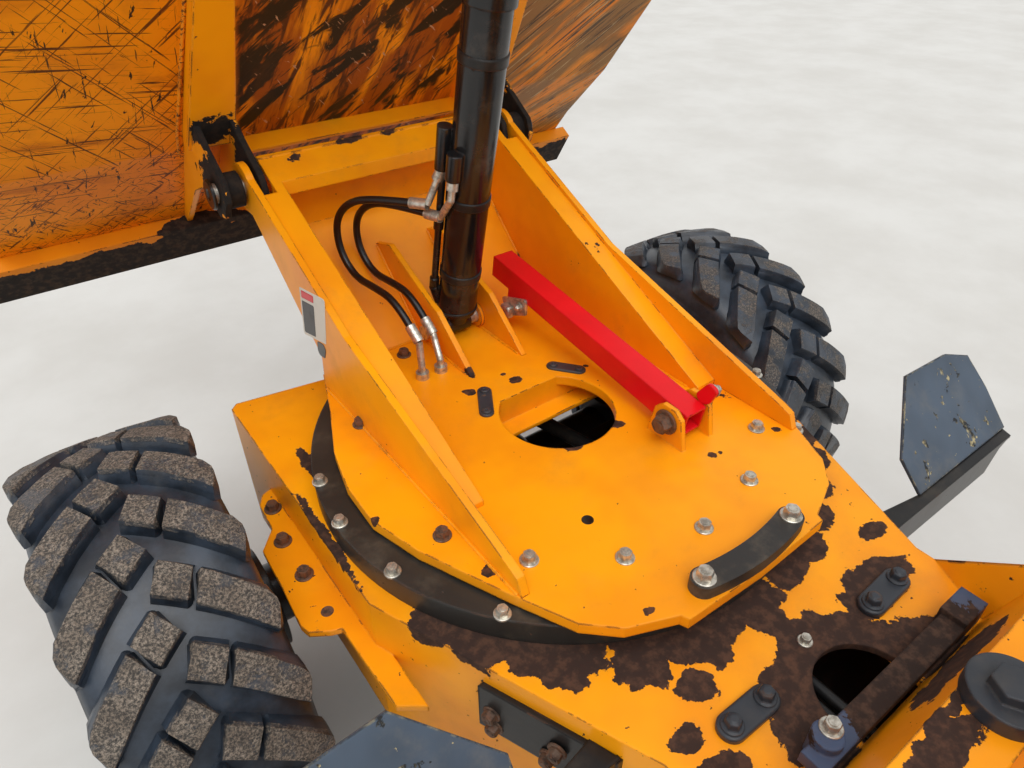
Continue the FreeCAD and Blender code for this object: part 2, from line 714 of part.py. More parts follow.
def turret_frame():
    """Turret above the turntable: side plates, trough and ram ribs."""
    slot = both(box(SKIP_RIB_X[0] - 8, SIDE_IN_X, TURRET_FRONT_Y - 1, LUG_SLOT_Y,
                    PLATE_Z, TIP_Z + 2 * BOSS_R))
    turret = fuse([both(turret_side())] + [piece.cut(slot) for piece in trough()] + [both(ram_rib())])
    turret = turret.cut(cyl_x(TIP_PIN_R + FIT, -DECK_X, DECK_X, TIP_Y, TIP_Z))
    return turret.cut(cyl_x(RAM_PIN_R, -RIB_X - 22, RIB_X + 22, *RAM_BASE))


def bumper_pad():
    """Bowed rubber stop at the turntable's rear edge, with round ends."""
    band = tube(PAD_R + PAD_HALF, PAD_R - PAD_HALF, (0, 0, PLATE_Z), (0, 0, PLATE_Z + PAD_T))
    end_y = math.sqrt(PAD_R ** 2 - PAD_BOLT_X ** 2)
    reach = 2.0
    wedge = prism_xy([(0, 0), (reach * PAD_BOLT_X, reach * end_y), (-reach * PAD_BOLT_X, reach * end_y)],
                     PLATE_Z, PLATE_Z + PAD_T)
    ends = [cyl_z(PAD_HALF, side * PAD_BOLT_X, end_y, PLATE_Z, PLATE_Z + PAD_T) for side in (-1, 1)]
    return fuse([band.common(wedge)] + ends)


def unit(p, q):
    """Unit vector from p to q."""
    direction = V(*q) - V(*p)
    direction.normalize()
    return direction


def ferrule(points, reach_back):
    """Crimped ferrule that ends where a hose starts, and its own start point."""
    end = V(*points[0])
    out = unit(points[0], points[1])
    start = end - out * reach_back
    return cyl(FERRULE_R, tuple(start), tuple(end)), tuple(start)


def bulkhead_fitting(x, y, points):
    """Nut on the turntable, a bent pipe and the ferrule of a hose."""
    ferr, start = ferrule(points, FERRULE_L)
    knee = (x, y, PLATE_Z + 26)
    return fuse([cyl_z(NUT_R, x, y, PLATE_Z, PLATE_Z + 14), cyl_z(PIPE_R, x, y, PLATE_Z, knee[2]),
                 Part.makeSphere(PIPE_R, V(*knee)), cyl(PIPE_R, knee, start), ferr])


def ram_points():
    """Eye of the ram's rod as it stands, its length and its direction in (y, z)."""
    a, b = RAM_EYE_AB
    t = math.radians(TIP_DEG)
    eye = (TIP_Y + a * math.cos(t) - b * math.sin(t), TIP_Z + a * math.sin(t) + b * math.cos(t))
    length = math.dist(eye, RAM_BASE)
    return eye, length, ((eye[0] - RAM_BASE[0]) / length, (eye[1] - RAM_BASE[1]) / length)


def along(d, x=0.0, out_y=0.0):
    """Point at a distance up the ram's line, moved off it by x and y."""
    lean = ram_points()[2]
    return (x, RAM_BASE[0] + lean[0] * d + out_y, RAM_BASE[1] + lean[1] * d)


def ram_barrel():
    """Barrel with its foot eye, gland, port blocks and pipe."""
    gland = BARREL_L - 40
    outside = [cyl(BARREL_R, along(40), along(BARREL_L)), cyl(BARREL_R + 5, along(gland), along(BARREL_L)),
               cyl(RAM_NECK_R, along(12), along(42)), cyl_x(RAM_FOOT_R, -28, 28, *RAM_BASE)]
    hollow = [cyl(BARREL_BORE_R, along(60), along(gland + 10)),
              cyl(ROD_R + FIT, along(gland), along(BARREL_L + 5)),
              cyl_x(RAM_PIN_R + FIT, -BARREL_R, BARREL_R, *RAM_BASE)]
    pipe = cyl(PIPE_R, along(90, PIPE_X, PIPE_Y), along(430, PIPE_X, PIPE_Y))
    clips = [cyl(PIPE_R + 3, along(d, PIPE_X, PIPE_Y), along(d + 20, PIPE_X, PIPE_Y))
             for d in (100, 240, 410)]
    block = cyl(15, along(360, 46, 12), along(410, 46, 12))
    port = cyl(14, along(368, PIPE_X + 2, PIPE_Y), along(450, PIPE_X + 2, PIPE_Y))
    foot = cyl(PIPE_R + 4, along(60, 30, -22), along(98, PIPE_X, PIPE_Y))
    barrel = fuse(outside + [pipe, block, port, foot] + clips)
    for part in hollow:
        barrel = barrel.cut(part)
    return barrel


def ram_elbow(top, knee, points):
    """Elbow under a port block: nut, bent pipe and the ferrule of a hose."""
    back = tuple(reversed(points))
    ferr, start = ferrule(back, FERRULE_L)
    nut = tuple(V(*top) + (V(*knee) - V(*top)) * 0.5)
    return fuse([cyl(NUT_R - 2, top, nut), cyl(PIPE_R, top, knee), Part.makeSphere(PIPE_R, V(*knee)),
                 cyl(PIPE_R, knee, start), ferr])


def ram_rod():
    """Rod with its piston and its eye, which runs free between the skip's ears."""
    eye, length, _ = ram_points()
    return fuse([cyl(ROD_R, along(PISTON_D), along(length - 20)),
                 cyl_x(RAM_EYE_R, -RAM_EYE_HALF + FIT, RAM_EYE_HALF - FIT, *eye),
                 cyl(BARREL_BORE_R - 0.5, along(PISTON_D), along(PISTON_D + 40))])


def safety_prop():
    """Square tube that props the skip, stowed along the turret, with a lever at its tail."""
    w = PROP_W / 2
    y, z = PROP_PIN
    front, tail = y - PROP_L, y + PROP_TAIL
    prop = box(PROP_X - w, PROP_X + w, front, tail, z - w, z + w)
    inner = w - PROP_WALL
    prop = prop.cut(box(PROP_X - inner, PROP_X + inner, front - 1, tail + 1, z - inner, z + inner))
    prop = prop.cut(cyl_x(PROP_PIN_R + FIT, PROP_X - PROP_W, PROP_X + PROP_W, y, z))
    tab = box(PROP_X + w - 6, PROP_X + w, front + 60, front + 122, z - w - 24, z - w)
    prop = prop.fuse(tab)
    prop.rotate(V(0, y, z), V(1, 0, 0), -PROP_DEG)
    return prop


def tipped(shape):
    """Turn a shape from the lowered skip's place to its tipped one."""
    return shape.rotated(V(0, TIP_Y, TIP_Z), V(1, 0, 0), TIP_DEG)


def ab(points):
    """Skip frame (back, up) points to drawing (y, z), lowered."""
    return [(TIP_Y + a, TIP_Z + b) for a, b in points]


def skip_block(profile, inset):
    """Solid between the skip's flared sides, set in by a wall."""
    wide, narrow = SKIP_HALF_W - inset, SKIP_NECK_HALF_W - inset
    front = TIP_Y - SKIP_DEPTH - 200
    neck, shoulder = SKIP_NECK
    plan = mirrored(((0, front), (narrow, front), (narrow, TIP_Y + neck), (wide, TIP_Y + shoulder),
                     (wide, TIP_Y + SKIP_BACK + 10), (0, TIP_Y + SKIP_BACK + 10)))
    return prism_yz(ab(profile), -wide, wide).common(prism_xy(plan, TIP_Z, TIP_Z + 3 * SKIP_DEPTH))


def ramp_b(a):
    """Height of the front ramp's underside at a distance back from the pivot."""
    low, high = SKIP_RAMP
    return SKIP_FLOOR_B + SKIP_RAMP_RISE * (high - a) / (high - low)


def skip_body():
    """Open skip: flat floor, front ramp, sloping back, flared sides and a rim bar."""
    floor, top, t = SKIP_FLOOR_B, SKIP_FLOOR_B + SKIP_DEPTH, SKIP_T
    ramp_end, ramp_start = SKIP_RAMP
    outer = [(ramp_end, ramp_b(ramp_end)), (ramp_start, floor), (SKIP_BACK - 200, floor),
             (SKIP_BACK - 60, floor + 110), (SKIP_BACK, top), (-250, top), (-SKIP_DEPTH, floor + 130)]
    inner = [(ramp_end - 10, ramp_b(ramp_end) + t), (ramp_start, floor + t), (SKIP_BACK - 203, floor + t),
             (SKIP_BACK - 67, floor + 114), (SKIP_BACK - t, top + 30), (-250, top + 30),
             (-SKIP_DEPTH - 130, floor + 200)]
    shell = skip_block(outer, 0).cut(skip_block(inner, t))
    bar_top = TIP_Z + top
    x0, x1 = SKIP_HALF_W - 1, SKIP_HALF_W + RIM_BAR
    bar = box(x0, x1, TIP_Y + 200, TIP_Y + SKIP_BACK, bar_top - RIM_BAR_H, bar_top)
    ribs = [box(x0, x1, TIP_Y + a, TIP_Y + a + 60, TIP_Z + floor, bar_top) for a in (300, 820)]
    return fuse([shell] + [both(piece) for piece in [bar] + ribs])


def skip_lip():
    """Thick wearing bar across the underside of the front ramp."""
    front, back = LIP_A
    profile = ab([(front, ramp_b(front)), (back, ramp_b(back)), (back, SKIP_FLOOR_B),
                  (front + 7, SKIP_FLOOR_B)])
    return prism_yz(profile, -LIP_HALF_W, LIP_HALF_W)


def rib_plate(profile, shift, thickness):
    """Upright plate of a skip rib, straight at the pivot and drawn in towards the skip's back."""
    line = ((TIP_Y - SKIP_DEPTH, SKIP_RIB_X), (TIP_Y, SKIP_RIB_X), (TIP_Y + RIB_BEND_A, RIB_BEND_X),
            (TIP_Y + RIB_END_A, RIB_END_X))
    edge = [(inner if shift is None else outer - shift, y) for y, (inner, outer) in line]
    plan = edge + [(x + thickness, y) for x, y in reversed(edge)]
    strip = prism_xy(plan, TIP_Z - 2 * BOSS_R, TIP_Z + SKIP_DEPTH)
    return prism_yz(ab(profile), RIB_END_X[0] - 1, SKIP_RIB_X[1] + 1).common(strip)


def skip_hinge_frame():
    """Ribs under the skip with forked lugs round the turret, and the ram's ears."""
    floor, back = SKIP_FLOOR_B, SKIP_RIB_B
    inner_x, outer_x = SKIP_RIB_X
    lip_a = LIP_A[1]
    lug = [(lip_a, ramp_b(lip_a)), (lip_a, 178), (-119, 111), (-50, 60), (-45, -20), (-20, -46), (20, -46),
           (45, -20), (50, 60), (60, back), (1010, back), (RIB_END_A, floor), (SKIP_RAMP[1], floor)]
    cap_line = ((TIP_Y, SKIP_RIB_X), (TIP_Y + RIB_BEND_A, RIB_BEND_X), (TIP_Y + 1010, RIB_END_X))
    cap_plan = [(inner, y) for y, (inner, _) in cap_line]
    cap_plan += [(outer, y) for y, (_, outer) in reversed(cap_line)]
    cap = prism_xy(cap_plan, TIP_Z + back, TIP_Z + back + SKIP_T)
    cross = ab([(-52, floor), (-44, back + 2), (-36, back + 2), (-44, floor)])
    a, b = RAM_EYE_AB
    ear = ab([(a - 83, floor), (a - 38, b - 33), (a, b - 45), (a + 37, b - 33), (a + 77, floor)])
    beam = ab([(a - 73, floor), (a - 63, back + 8), (a + 37, back + 8), (a + 47, floor)])
    ear_x = RAM_EYE_HALF + LUG_T + 2
    bush_x, bush_r = SKIP_BUSH
    parts = [rib_plate(lug, None, LUG_T), rib_plate(lug, outer_x - SKIP_LUG_X[0], LUG_T), cap,
             cyl_x(bush_r, bush_x, SKIP_LUG_X[0] + 1, TIP_Y, TIP_Z),
             prism_yz(ear, RAM_EYE_HALF, ear_x), cyl_x(24, ear_x, ear_x + LUG_T, *ab([RAM_EYE_AB])[0])]
    beam_x = RIB_END_X[0] + LUG_T
    bars = [prism_yz(cross, -inner_x, inner_x), prism_yz(beam, -beam_x, beam_x)]
    frame = fuse([both(p) for p in parts] + bars)
    return frame.cut(cyl_x(TIP_PIN_R, -DECK_X, DECK_X, TIP_Y, TIP_Z))


def steer(d):
    """Point at a distance from the steering cylinder's rear pin to its front pin."""
    length = math.dist(STEER_FRONT, STEER_REAR)
    return (STEER_REAR[0] + (STEER_FRONT[0] - STEER_REAR[0]) * d / length,
            STEER_REAR[1] + (STEER_FRONT[1] - STEER_REAR[1]) * d / length, STEER_Z)


def steer_barrel():
    """Steering cylinder's barrel and rear eye."""
    x, y = STEER_REAR
    barrel = fuse([cyl(STEER_BARREL_R, steer(20), steer(STEER_BARREL_L)),
                   cyl_z(STEER_EYE_R, x, y, STEER_Z - 30 + FIT, STEER_Z + 30 - FIT)])
    bottom, gland = STEER_BORE
    barrel = barrel.cut(cyl(STEER_BARREL_R - 7, steer(bottom), steer(gland)))
    barrel = barrel.cut(cyl(STEER_ROD_R + FIT, steer(gland - 5), steer(STEER_BARREL_L + 5)))
    return barrel.cut(cyl_z(STEER_ROD_R + FIT, x, y, STEER_Z - 40, STEER_Z + 40))


def steer_rod():
    """Steering cylinder's rod, piston and front eye."""
    length = math.dist(STEER_FRONT, STEER_REAR)
    x, y = STEER_FRONT
    head, skirt = STEER_PISTON
    return fuse([cyl(STEER_ROD_R, steer(head), steer(length - 10)),
                 cyl(STEER_BARREL_R - 7.5, steer(head), steer(skirt)),
                 cyl_z(STEER_EYE_R, x, y, STEER_Z - 30 + FIT, STEER_Z + 30 - FIT)])


def rear_frame():
    """Rear frame: rails, floor, bulkhead, the articulation knuckle and steering lugs."""
    rail = box(REAR_HALF_W - RAIL_T, REAR_HALF_W, PLAT_Y0, REAR_END_Y, RAIL_BOTTOM_Z, FLOOR_Z)
    pad_top = AXLE_Z + ARCH_R - 20
    notch = box(-REAR_HALF_W, REAR_HALF_W, REAR_AXLE_Y - 70, REAR_AXLE_Y + 70, RAIL_BOTTOM_Z, pad_top)
    floor = box(-REAR_HALF_W, REAR_HALF_W, PLAT_Y0, REAR_END_Y, FLOOR_Z - WEB_T, FLOOR_Z)
    wall = box(-REAR_HALF_W, REAR_HALF_W, BULKHEAD_Y, PLAT_Y0, RAIL_BOTTOM_Z, BULKHEAD_TOP_Z)
    knuckle = cyl_z(KNUCKLE_R, 0, PIVOT_Y, KNUCKLE_BOTTOM_Z, KNUCKLE_TOP_Z)
    neck = box(-NECK_HALF, NECK_HALF, PIVOT_Y, BULKHEAD_Y, KNUCKLE_BOTTOM_Z, KNUCKLE_TOP_Z)
    spacer = cyl_z(KNUCKLE_R - 8, 0, PIVOT_Y, KNUCKLE_TOP_Z, RIDGE_Z - HOUSING_TOP_T - FIT)
    foot = cyl_z(KNUCKLE_R - 8, 0, PIVOT_Y, HINGE_PLATE_Z + HOUSING_TOP_T + FIT, KNUCKLE_BOTTOM_Z)
    lugs = steer_lugs(STEER_REAR, -REAR_HALF_W)
    x, y = STEER_REAR
    pin = cyl_z(STEER_ROD_R, x, y, STEER_Z - 31, STEER_Z + 31)
    frame = fuse([both(rail), floor, wall, knuckle, neck, spacer, foot, pin] + lugs)
    return frame.cut(cyl_z(ART_PIN_R + FIT, 0, PIVOT_Y, FRAME_BOTTOM_Z, RIDGE_Z)).cut(notch)


def drive_shaft(near, far, joint_end):
    """Half of the drive shaft along Y, with the universal joint's yoke at one end."""
    side = math.copysign(JOINT_L, far - near)
    return fuse([cyl(SHAFT_R, (0, near, SHAFT_Z), (0, far, SHAFT_Z)),
                 cyl(JOINT_R, (0, joint_end, SHAFT_Z), (0, joint_end - side, SHAFT_Z))])


def platform():
    """Driver's floor plate with folded edges."""
    lip_top = FLOOR_Z + 50
    return fuse([box(-PLAT_X, PLAT_X, PLAT_Y0, PLAT_Y1, FLOOR_Z, FLOOR_Z + PLAT_T),
                 both(box(PLAT_X - 5, PLAT_X, PLAT_Y0, PLAT_Y1, FLOOR_Z - 40, FLOOR_Z)),
                 box(-PLAT_X, PLAT_X, PLAT_Y0, PLAT_Y0 + 5, FLOOR_Z, lip_top)])


def side_step():
    """Left boarding step: a tray hung from the platform."""
    x0, x1 = STEP_X
    y0, y1 = STEP_Y
    t = PLAT_T
    return fuse([box(x0, x1, y0, y1, STEP_Z, STEP_Z + t), box(x0, x1, y0, y0 + t, STEP_Z, FLOOR_Z),
                 box(x0, x1, y1 - t, y1, STEP_Z, FLOOR_Z), box(x0, x0 + t, y0, y1, STEP_Z, FLOOR_Z)])


def side_tank():
    """Left tank between the frame's rail and the rear wheel, with chamfered corners."""
    x0, x1 = REAR_HALF_W, HALF_TRACK - TYRE_W / 2 - 60
    outline = [(x0, 452), (x1 - 40, 452), (x1, 492), (x1, 600), (x1 - 24, 624), (x0, 624)]
    return prism_xz(outline, STEER_REAR[1] + STEER_LUG_HALF + 5, REAR_AXLE_Y - AXLE_PAD_HALF_Y - 12)


def console():
    """Dash box that rises from the platform, its top sloping to the driver."""
    y = CONSOLE_Y
    base = FLOOR_Z + PLAT_T
    return prism_yz([(y, base), (y + 95, base), (y + 95, CONSOLE_Z), (y + 140, CONSOLE_Z + 60),
                     (y + 120, CONSOLE_Z + 90), (y, CONSOLE_Z + 70)],
                    -CONSOLE_X, CONSOLE_X)


def control_levers():
    """Three levers with round knobs on the console's top."""
    y = CONSOLE_Y + 60
    levers = []
    for x in (-172, -140, -108):
        top = (x, y - 10, CONSOLE_Z + 172)
        levers.append(cyl(6, (x, y, CONSOLE_Z + 78), top).fuse(Part.makeSphere(15, V(*top))))
    return levers


def pedals():
    """Brake and drive pedals: pads on short arms out of the console."""
    y = CONSOLE_Y + 95
    pads = []
    for x in (-120, 120):
        arm = cyl(9, (x, y, FLOOR_Z + 180), (x, y + 60, FLOOR_Z + 100))
        low = FLOOR_Z + 60
        side = [(y + 40, low), (y + 82, low + 48), (y + 76, low + 54), (y + 34, low + 6)]
        pad = prism_yz(side, x - 45, x + 45)
        pads.append(arm.fuse(pad))
    return pads


def handwheel_frame():
    """Centre and axis of the steering wheel."""
    tilt = math.radians(WHEEL_TILT)
    return V(0, *WHEEL_C), V(0, math.sin(tilt), math.cos(tilt))


def handwheel():
    """Steering wheel: rim, three spokes and boss."""
    centre, axis = handwheel_frame()
    across = V(0, axis.z, -axis.y)
    parts = [Part.makeTorus(HANDWHEEL_R, HANDWHEEL_T, centre, axis),
             cyl(28, tuple(centre - axis * 40), tuple(centre + axis * 4))]
    for angle in (30, 150, 270):
        out = V(math.cos(math.radians(angle)), 0, 0) + across * math.sin(math.radians(angle))
        parts.append(cyl(8, tuple(centre - axis * 12), tuple(centre + out * (HANDWHEEL_R - 4))))
    return fuse(parts)


def steering_column():
    """Column from the console's slope up to the steering wheel's boss."""
    centre, axis = handwheel_frame()
    return cyl(22, tuple(centre - axis * 290), tuple(centre - axis * (40 + FIT)))


def seat_base():
    """Stepped box under the seat."""
    y0, y1 = SEAT_BASE_Y
    body = box(-SEAT_BASE_X, SEAT_BASE_X, y0, y1, FLOOR_Z, SEAT_Z - 20)
    return body.fuse(box(-SEAT_X, SEAT_X, y0 + 10, y1 - 60, SEAT_Z - 20, SEAT_Z))


def seat_cushion():
    """Seat cushion with a rounded front."""
    y0 = SEAT_BASE_Y[0] + 20
    block = box(-SEAT_X, SEAT_X, y0, y0 + 340, SEAT_Z, SEAT_Z + CUSHION_H)
    return block.makeFillet(30, [e for e in block.Edges if abs(e.CenterOfMass.y - y0) < 1])


def seat_back():
    """Backrest, leaning to the rear."""
    y0 = SEAT_BASE_Y[0] + 300
    top = SEAT_Z + CUSHION_H + 370
    low = SEAT_Z + CUSHION_H
    return prism_yz([(y0, low), (y0 + 70, low), (y0 + 130, top), (y0 + 70, top)], -SEAT_X + 15, SEAT_X - 15)


def bonnet():
    """Engine bonnet, open in front and below, with side slots and a rear opening."""
    y0, y1 = HOOD_Y
    t = HOOD_T
    shell = box(-HOOD_X, HOOD_X, y0, y1, HOOD_BOTTOM_Z, HOOD_Z)
    slope = prism_yz([(y1 - 170, HOOD_Z + 1), (y1 + 1, HOOD_Z + 1), (y1 + 1, HOOD_Z - 80)], -HOOD_X, HOOD_X)
    inner = prism_yz([(y0 - 1, HOOD_BOTTOM_Z - 1), (y1 - t, HOOD_BOTTOM_Z - 1), (y1 - t, HOOD_Z - 80 - t),
                      (y1 - 172, HOOD_Z - t), (y0 - 1, HOOD_Z - t)], -HOOD_X + t, HOOD_X - t)
    shell = shell.cut(slope).cut(inner)
    shell = shell.cut(box(-GRILLE_X, GRILLE_X, y1 - 2 * t, y1 + 1, GRILLE_Z[0], GRILLE_Z[1]))
    for i in range(5):
        z = 800 + 46 * i
        shell = shell.cut(box(-HOOD_X - 1, HOOD_X + 1, y0 + 150, y0 + 400, z, z + 18))
    hinge_y, hinge_z = hood_hinge()
    leaves = []
    for x in (-250, 190):
        leaf = box(x, x + 60, hinge_y, hinge_y + 60, HOOD_Z, HOOD_Z + 6)
        leaf = leaf.fuse(cyl_x(HINGE_R, x, x + 60, hinge_y, hinge_z))
        leaves.append(leaf.cut(cyl_x(HINGE_PIN_R + FIT, x, x + 60, hinge_y, hinge_z)))
    return fuse([shell] + leaves)


def hood_hinge():
    """Place of the bonnet's hinge line in (y, z)."""
    return HOOD_Y[0] - 3, HOOD_Z + HINGE_R + 1


def radiator_grille():
    """Louvred panel in the bonnet's rear opening."""
    y1 = HOOD_Y[1]
    z0, z1 = GRILLE_Z
    bars = [box(side * GRILLE_X, side * (GRILLE_X - 14), y1 - 14, y1 + 4, z0, z1) for side in (-1, 1)]
    bars += [box(-GRILLE_X, GRILLE_X, y1 - 14, y1 + 4, z, z + 14) for z in (z0, z1 - 14)]
    pitch = 24
    for i in range(int((z1 - z0 - 28) / pitch)):
        z = z0 + 20 + pitch * i
        bars.append(prism_yz([(y1 - 12, z + 12), (y1 + 2, z), (y1 + 2, z + 4), (y1 - 12, z + 16)],
                             -GRILLE_X + 10, GRILLE_X - 10))
    return fuse(bars)


def engine_cowl():
    """Fixed hood between the seat and the bonnet, with the bonnet's hinge pins."""
    t = HOOD_T
    back = HOOD_Y[0] - 6
    cowl = box(-HOOD_X, HOOD_X, COWL_Y, back, FLOOR_Z, HOOD_Z)
    cowl = cowl.cut(box(-HOOD_X + t, HOOD_X - t, COWL_Y + t, back + 1, FLOOR_Z - 1, HOOD_Z - t))
    hinge_y, hinge_z = hood_hinge()
    parts = [cowl]
    for x in (-250, 190):
        parts.append(cyl_x(HINGE_PIN_R, x - 12, x + 72, hinge_y, hinge_z))
        for edge in (x - 12, x + 60 + FIT):
            ear = [(back - 36, HOOD_Z), (back - 3, HOOD_Z), (back - 3, HOOD_Z + 2),
                   (hinge_y + 10, hinge_z - 4), (hinge_y + 6, hinge_z + 10), (hinge_y - 10, hinge_z + 10)]
            parts.append(prism_yz(ear, edge, edge + 12 - FIT))
    return fuse(parts)


def exhaust():
    """Upright exhaust on the cowl: flange, silencer and tail pipe."""
    x, y = EXHAUST_X, ROPS_Y
    bend = HOOD_Z + 300
    tail = cyl(24, (x, y, bend), (x, y + 60, bend + 80))
    return fuse([cyl_z(46, x, y, HOOD_Z, HOOD_Z + 10), cyl_z(24, x, y, HOOD_Z, bend),
                 cyl_z(48, x, y, HOOD_Z + 40, HOOD_Z + 250), Part.makeSphere(24, V(x, y, bend)), tail])


def rops_lower():
    """Left lower post of the roll bar, with its stub on the frame and folding plates."""
    h = ROPS_W / 2
    stub = box(REAR_HALF_W, ROPS_X + h, ROPS_Y - h, ROPS_Y + h, ROPS_FOOT_Z, FLOOR_Z - WEB_T)
    post = box(ROPS_X - h, ROPS_X + h, ROPS_Y - h, ROPS_Y + h, ROPS_FOOT_Z, ROPS_PIN_Z - 38)
    parts = [stub, post, cyl_x(ROPS_PIN_R, ROPS_X - h - 16, ROPS_X + h + 16, ROPS_Y, ROPS_PIN_Z)]
    for side in (-1, 1):
        x = ROPS_X + side * (h + 5)
        parts.append(box(x - 5, x + 5, ROPS_Y - 40, ROPS_Y + 40, ROPS_PIN_Z - 120, ROPS_PIN_Z + 36))
    return fuse(parts)


def rops_upper():
    """Folding loop of the roll bar, of square tube with mitred corners."""
    h = ROPS_W / 2
    out, inn = ROPS_X + h - 0.5, ROPS_X - h + 0.5
    cut = 70
    outer = [(out, ROPS_PIN_Z), (out, ROPS_TOP - cut), (out - cut, ROPS_TOP), (0, ROPS_TOP)]
    inner = [(0, ROPS_TOP - ROPS_W), (inn - cut + 26, ROPS_TOP - ROPS_W), (inn, ROPS_TOP - ROPS_W - cut + 26),
             (inn, ROPS_PIN_Z)]
    loop = prism_xz(outer + inner, ROPS_Y - h, ROPS_Y + h)
    eye = cyl_x(h, inn, out, ROPS_Y, ROPS_PIN_Z)
    loop = fuse([both(loop), both(eye)])
    return loop.cut(cyl_x(ROPS_PIN_R + FIT, -WING_X, WING_X, ROPS_Y, ROPS_PIN_Z))


def beacon():
    """Warning beacon on the roll bar's top: foot and lens."""
    x = -ROPS_X + 140
    lens = Part.makeCone(54, 46, 90, V(x, ROPS_Y, ROPS_TOP + 20))
    return fuse([cyl_z(64, x, ROPS_Y, ROPS_TOP, ROPS_TOP + 20), lens])


def rear_mudguard():
    """Left rear mudguard: a folded plate over the wheel, with its arm and post."""
    x0, x1 = GUARD_REAR_X
    z, t = GUARD_REAR_Z, PLAT_T
    front, back = REAR_AXLE_Y - WHEEL_R, REAR_AXLE_Y + WHEEL_R + 20
    line = [(front, z - 45), (front + 90, z), (back - 100, z), (back, z - 45)]
    guard = prism_yz(line + [(y, h + t) for y, h in reversed(line)], x0, x1)
    arm = box(REAR_HALF_W, x0 + 20, 1780, 1830, ROPS_FOOT_Z, 600)
    post = box(x0, x0 + 20, 1780, 1830, ROPS_FOOT_Z, z)
    valance = box(x0, x0 + 5, front + 90, back - 100, z - 60, z)
    return fuse([guard, arm, post, valance])


def rear_weight():
    """Cast rear weight with lamp recesses, and the ears of the tow pin."""
    y0 = REAR_END_Y
    y1 = y0 + WEIGHT_Y
    block = box(-WEIGHT_X, WEIGHT_X, y0, y1, RAIL_BOTTOM_Z, HOOD_BOTTOM_Z)
    low = RAIL_BOTTOM_Z - 1
    bevel = prism_yz([(y1 - 40, low), (y1 + 1, low), (y1 + 1, low + 61)], -WEIGHT_X, WEIGHT_X)
    ears = [box(-60, 60, y1 - 20, y1 + 100, z, z + 20) for z in (520, 610)]
    weight = fuse([block.cut(bevel)] + ears)
    return weight.cut(cyl_z(TOW_PIN_R, 0, y1 + 60, 500, 640))


def rear_lamp():
    """Left rear lamp cluster on the weight."""
    y = REAR_END_Y + WEIGHT_Y
    z = RAIL_BOTTOM_Z + 150
    return box(320, 415, y, y + 22, z, z + 70)


def headlamp():
    """Left headlamp: bowl on a bracket from the platform's front edge."""
    x, y, z = 360, PLAT_Y0, 770
    bracket = box(x - 15, x + 15, y - 20, y + 5, FLOOR_Z + 50, z + 10)
    return fuse([cyl(60, (x, y - 50, z), (x, y - 16, z)), cyl(42, (x, y - 16, z), (x, y + 6, z)), bracket])


def add_wheels():
    """Tyres and rims of the four wheels."""
    rubber = tyre()
    for name, y, side in WHEELS:
        place = V(side * HALF_TRACK, y, AXLE_Z)
        NODES[name + "_tyre"] = rubber.translated(place)
        NODES[name + "_rim"] = rim(side * HALF_TRACK, y, side)


def add_front_half():
    """Front frame and what is fixed to it."""
    nose = FRONT_AXLE_Y + DIFF_R + 14
    pad_top = AXLE_Z + ARCH_R - 20
    NODES["front_axle"] = axle(FRONT_AXLE_Y, 1, nose, DECK_X - 38 - AXLE_PAD / 2 + 40, pad_top)
    NODES["front_frame"] = front_frame()
    NODES["slew_ring"] = tube(RING_OUT_R, RING_MID_R, (0, 0, DECK_Z), (0, 0, RING_TOP_Z))
    NODES["slew_cylinder"] = slewing_cylinder()
    NODES["transit_pipes"] = transit_pipes()
    NODES["front_mudguards"] = pair(mudguard_plate())
    NODES["mudguard_arms"] = pair(mudguard_arm())
    NODES["articulation_lock_bar"] = lock_bar()
    NODES["articulation_pin"] = articulation_pin()
    NODES["front_drive_shaft"] = drive_shaft(nose, PIVOT_Y - JOINT_GAP - JOINT_L, PIVOT_Y - JOINT_GAP)


def add_turret():
    """Turntable, turret, skip and tipping gear."""
    NODES["turntable_plate"] = turntable_plate()
    NODES["turret_frame"] = turret_frame()
    NODES["turret_pins"] = Part.makeCompound([
        cyl_x(RAM_PIN_R, -RIB_X - 22, RIB_X + 22, *RAM_BASE),
        cyl_x(PROP_PIN_R, PROP_X - PROP_W, PROP_X + PROP_W, *PROP_PIN)])
    NODES["bumper_pad"] = bumper_pad()
    NODES["bulkhead_fittings"] = Part.makeCompound([bulkhead_fitting(146, -241, LIFT_HOSE),
                                                    bulkhead_fitting(104, -240, LOWER_HOSE)])
    NODES["lift_hose"] = hose(LIFT_HOSE, HOSE_R)
    NODES["lower_hose"] = hose(LOWER_HOSE, HOSE_R)
    NODES["safety_prop"] = safety_prop()
    NODES["skip_body"] = tipped(skip_body())
    NODES["skip_lip"] = tipped(skip_lip())
    NODES["skip_hinge_frame"] = tipped(skip_hinge_frame())
    pin = cyl_x(TIP_PIN_R, SKIP_RIB_X[0] - 6, SKIP_LUG_X[1] + 8, TIP_Y, TIP_Z)
    NODES["skip_pins"] = tipped(pair(pin))
    NODES["tip_ram_barrel"] = ram_barrel()
    NODES["tip_ram_rod"] = ram_rod()
    elbows = (ram_elbow(along(368, PIPE_X + 2, PIPE_Y), (55, -306, 1154), LIFT_HOSE),
              ram_elbow(along(360, 46, 12), (52, -252, 1150), LOWER_HOSE))
    NODES["ram_elbows"] = Part.makeCompound([elbow.cut(NODES["tip_ram_barrel"]) for elbow in elbows])


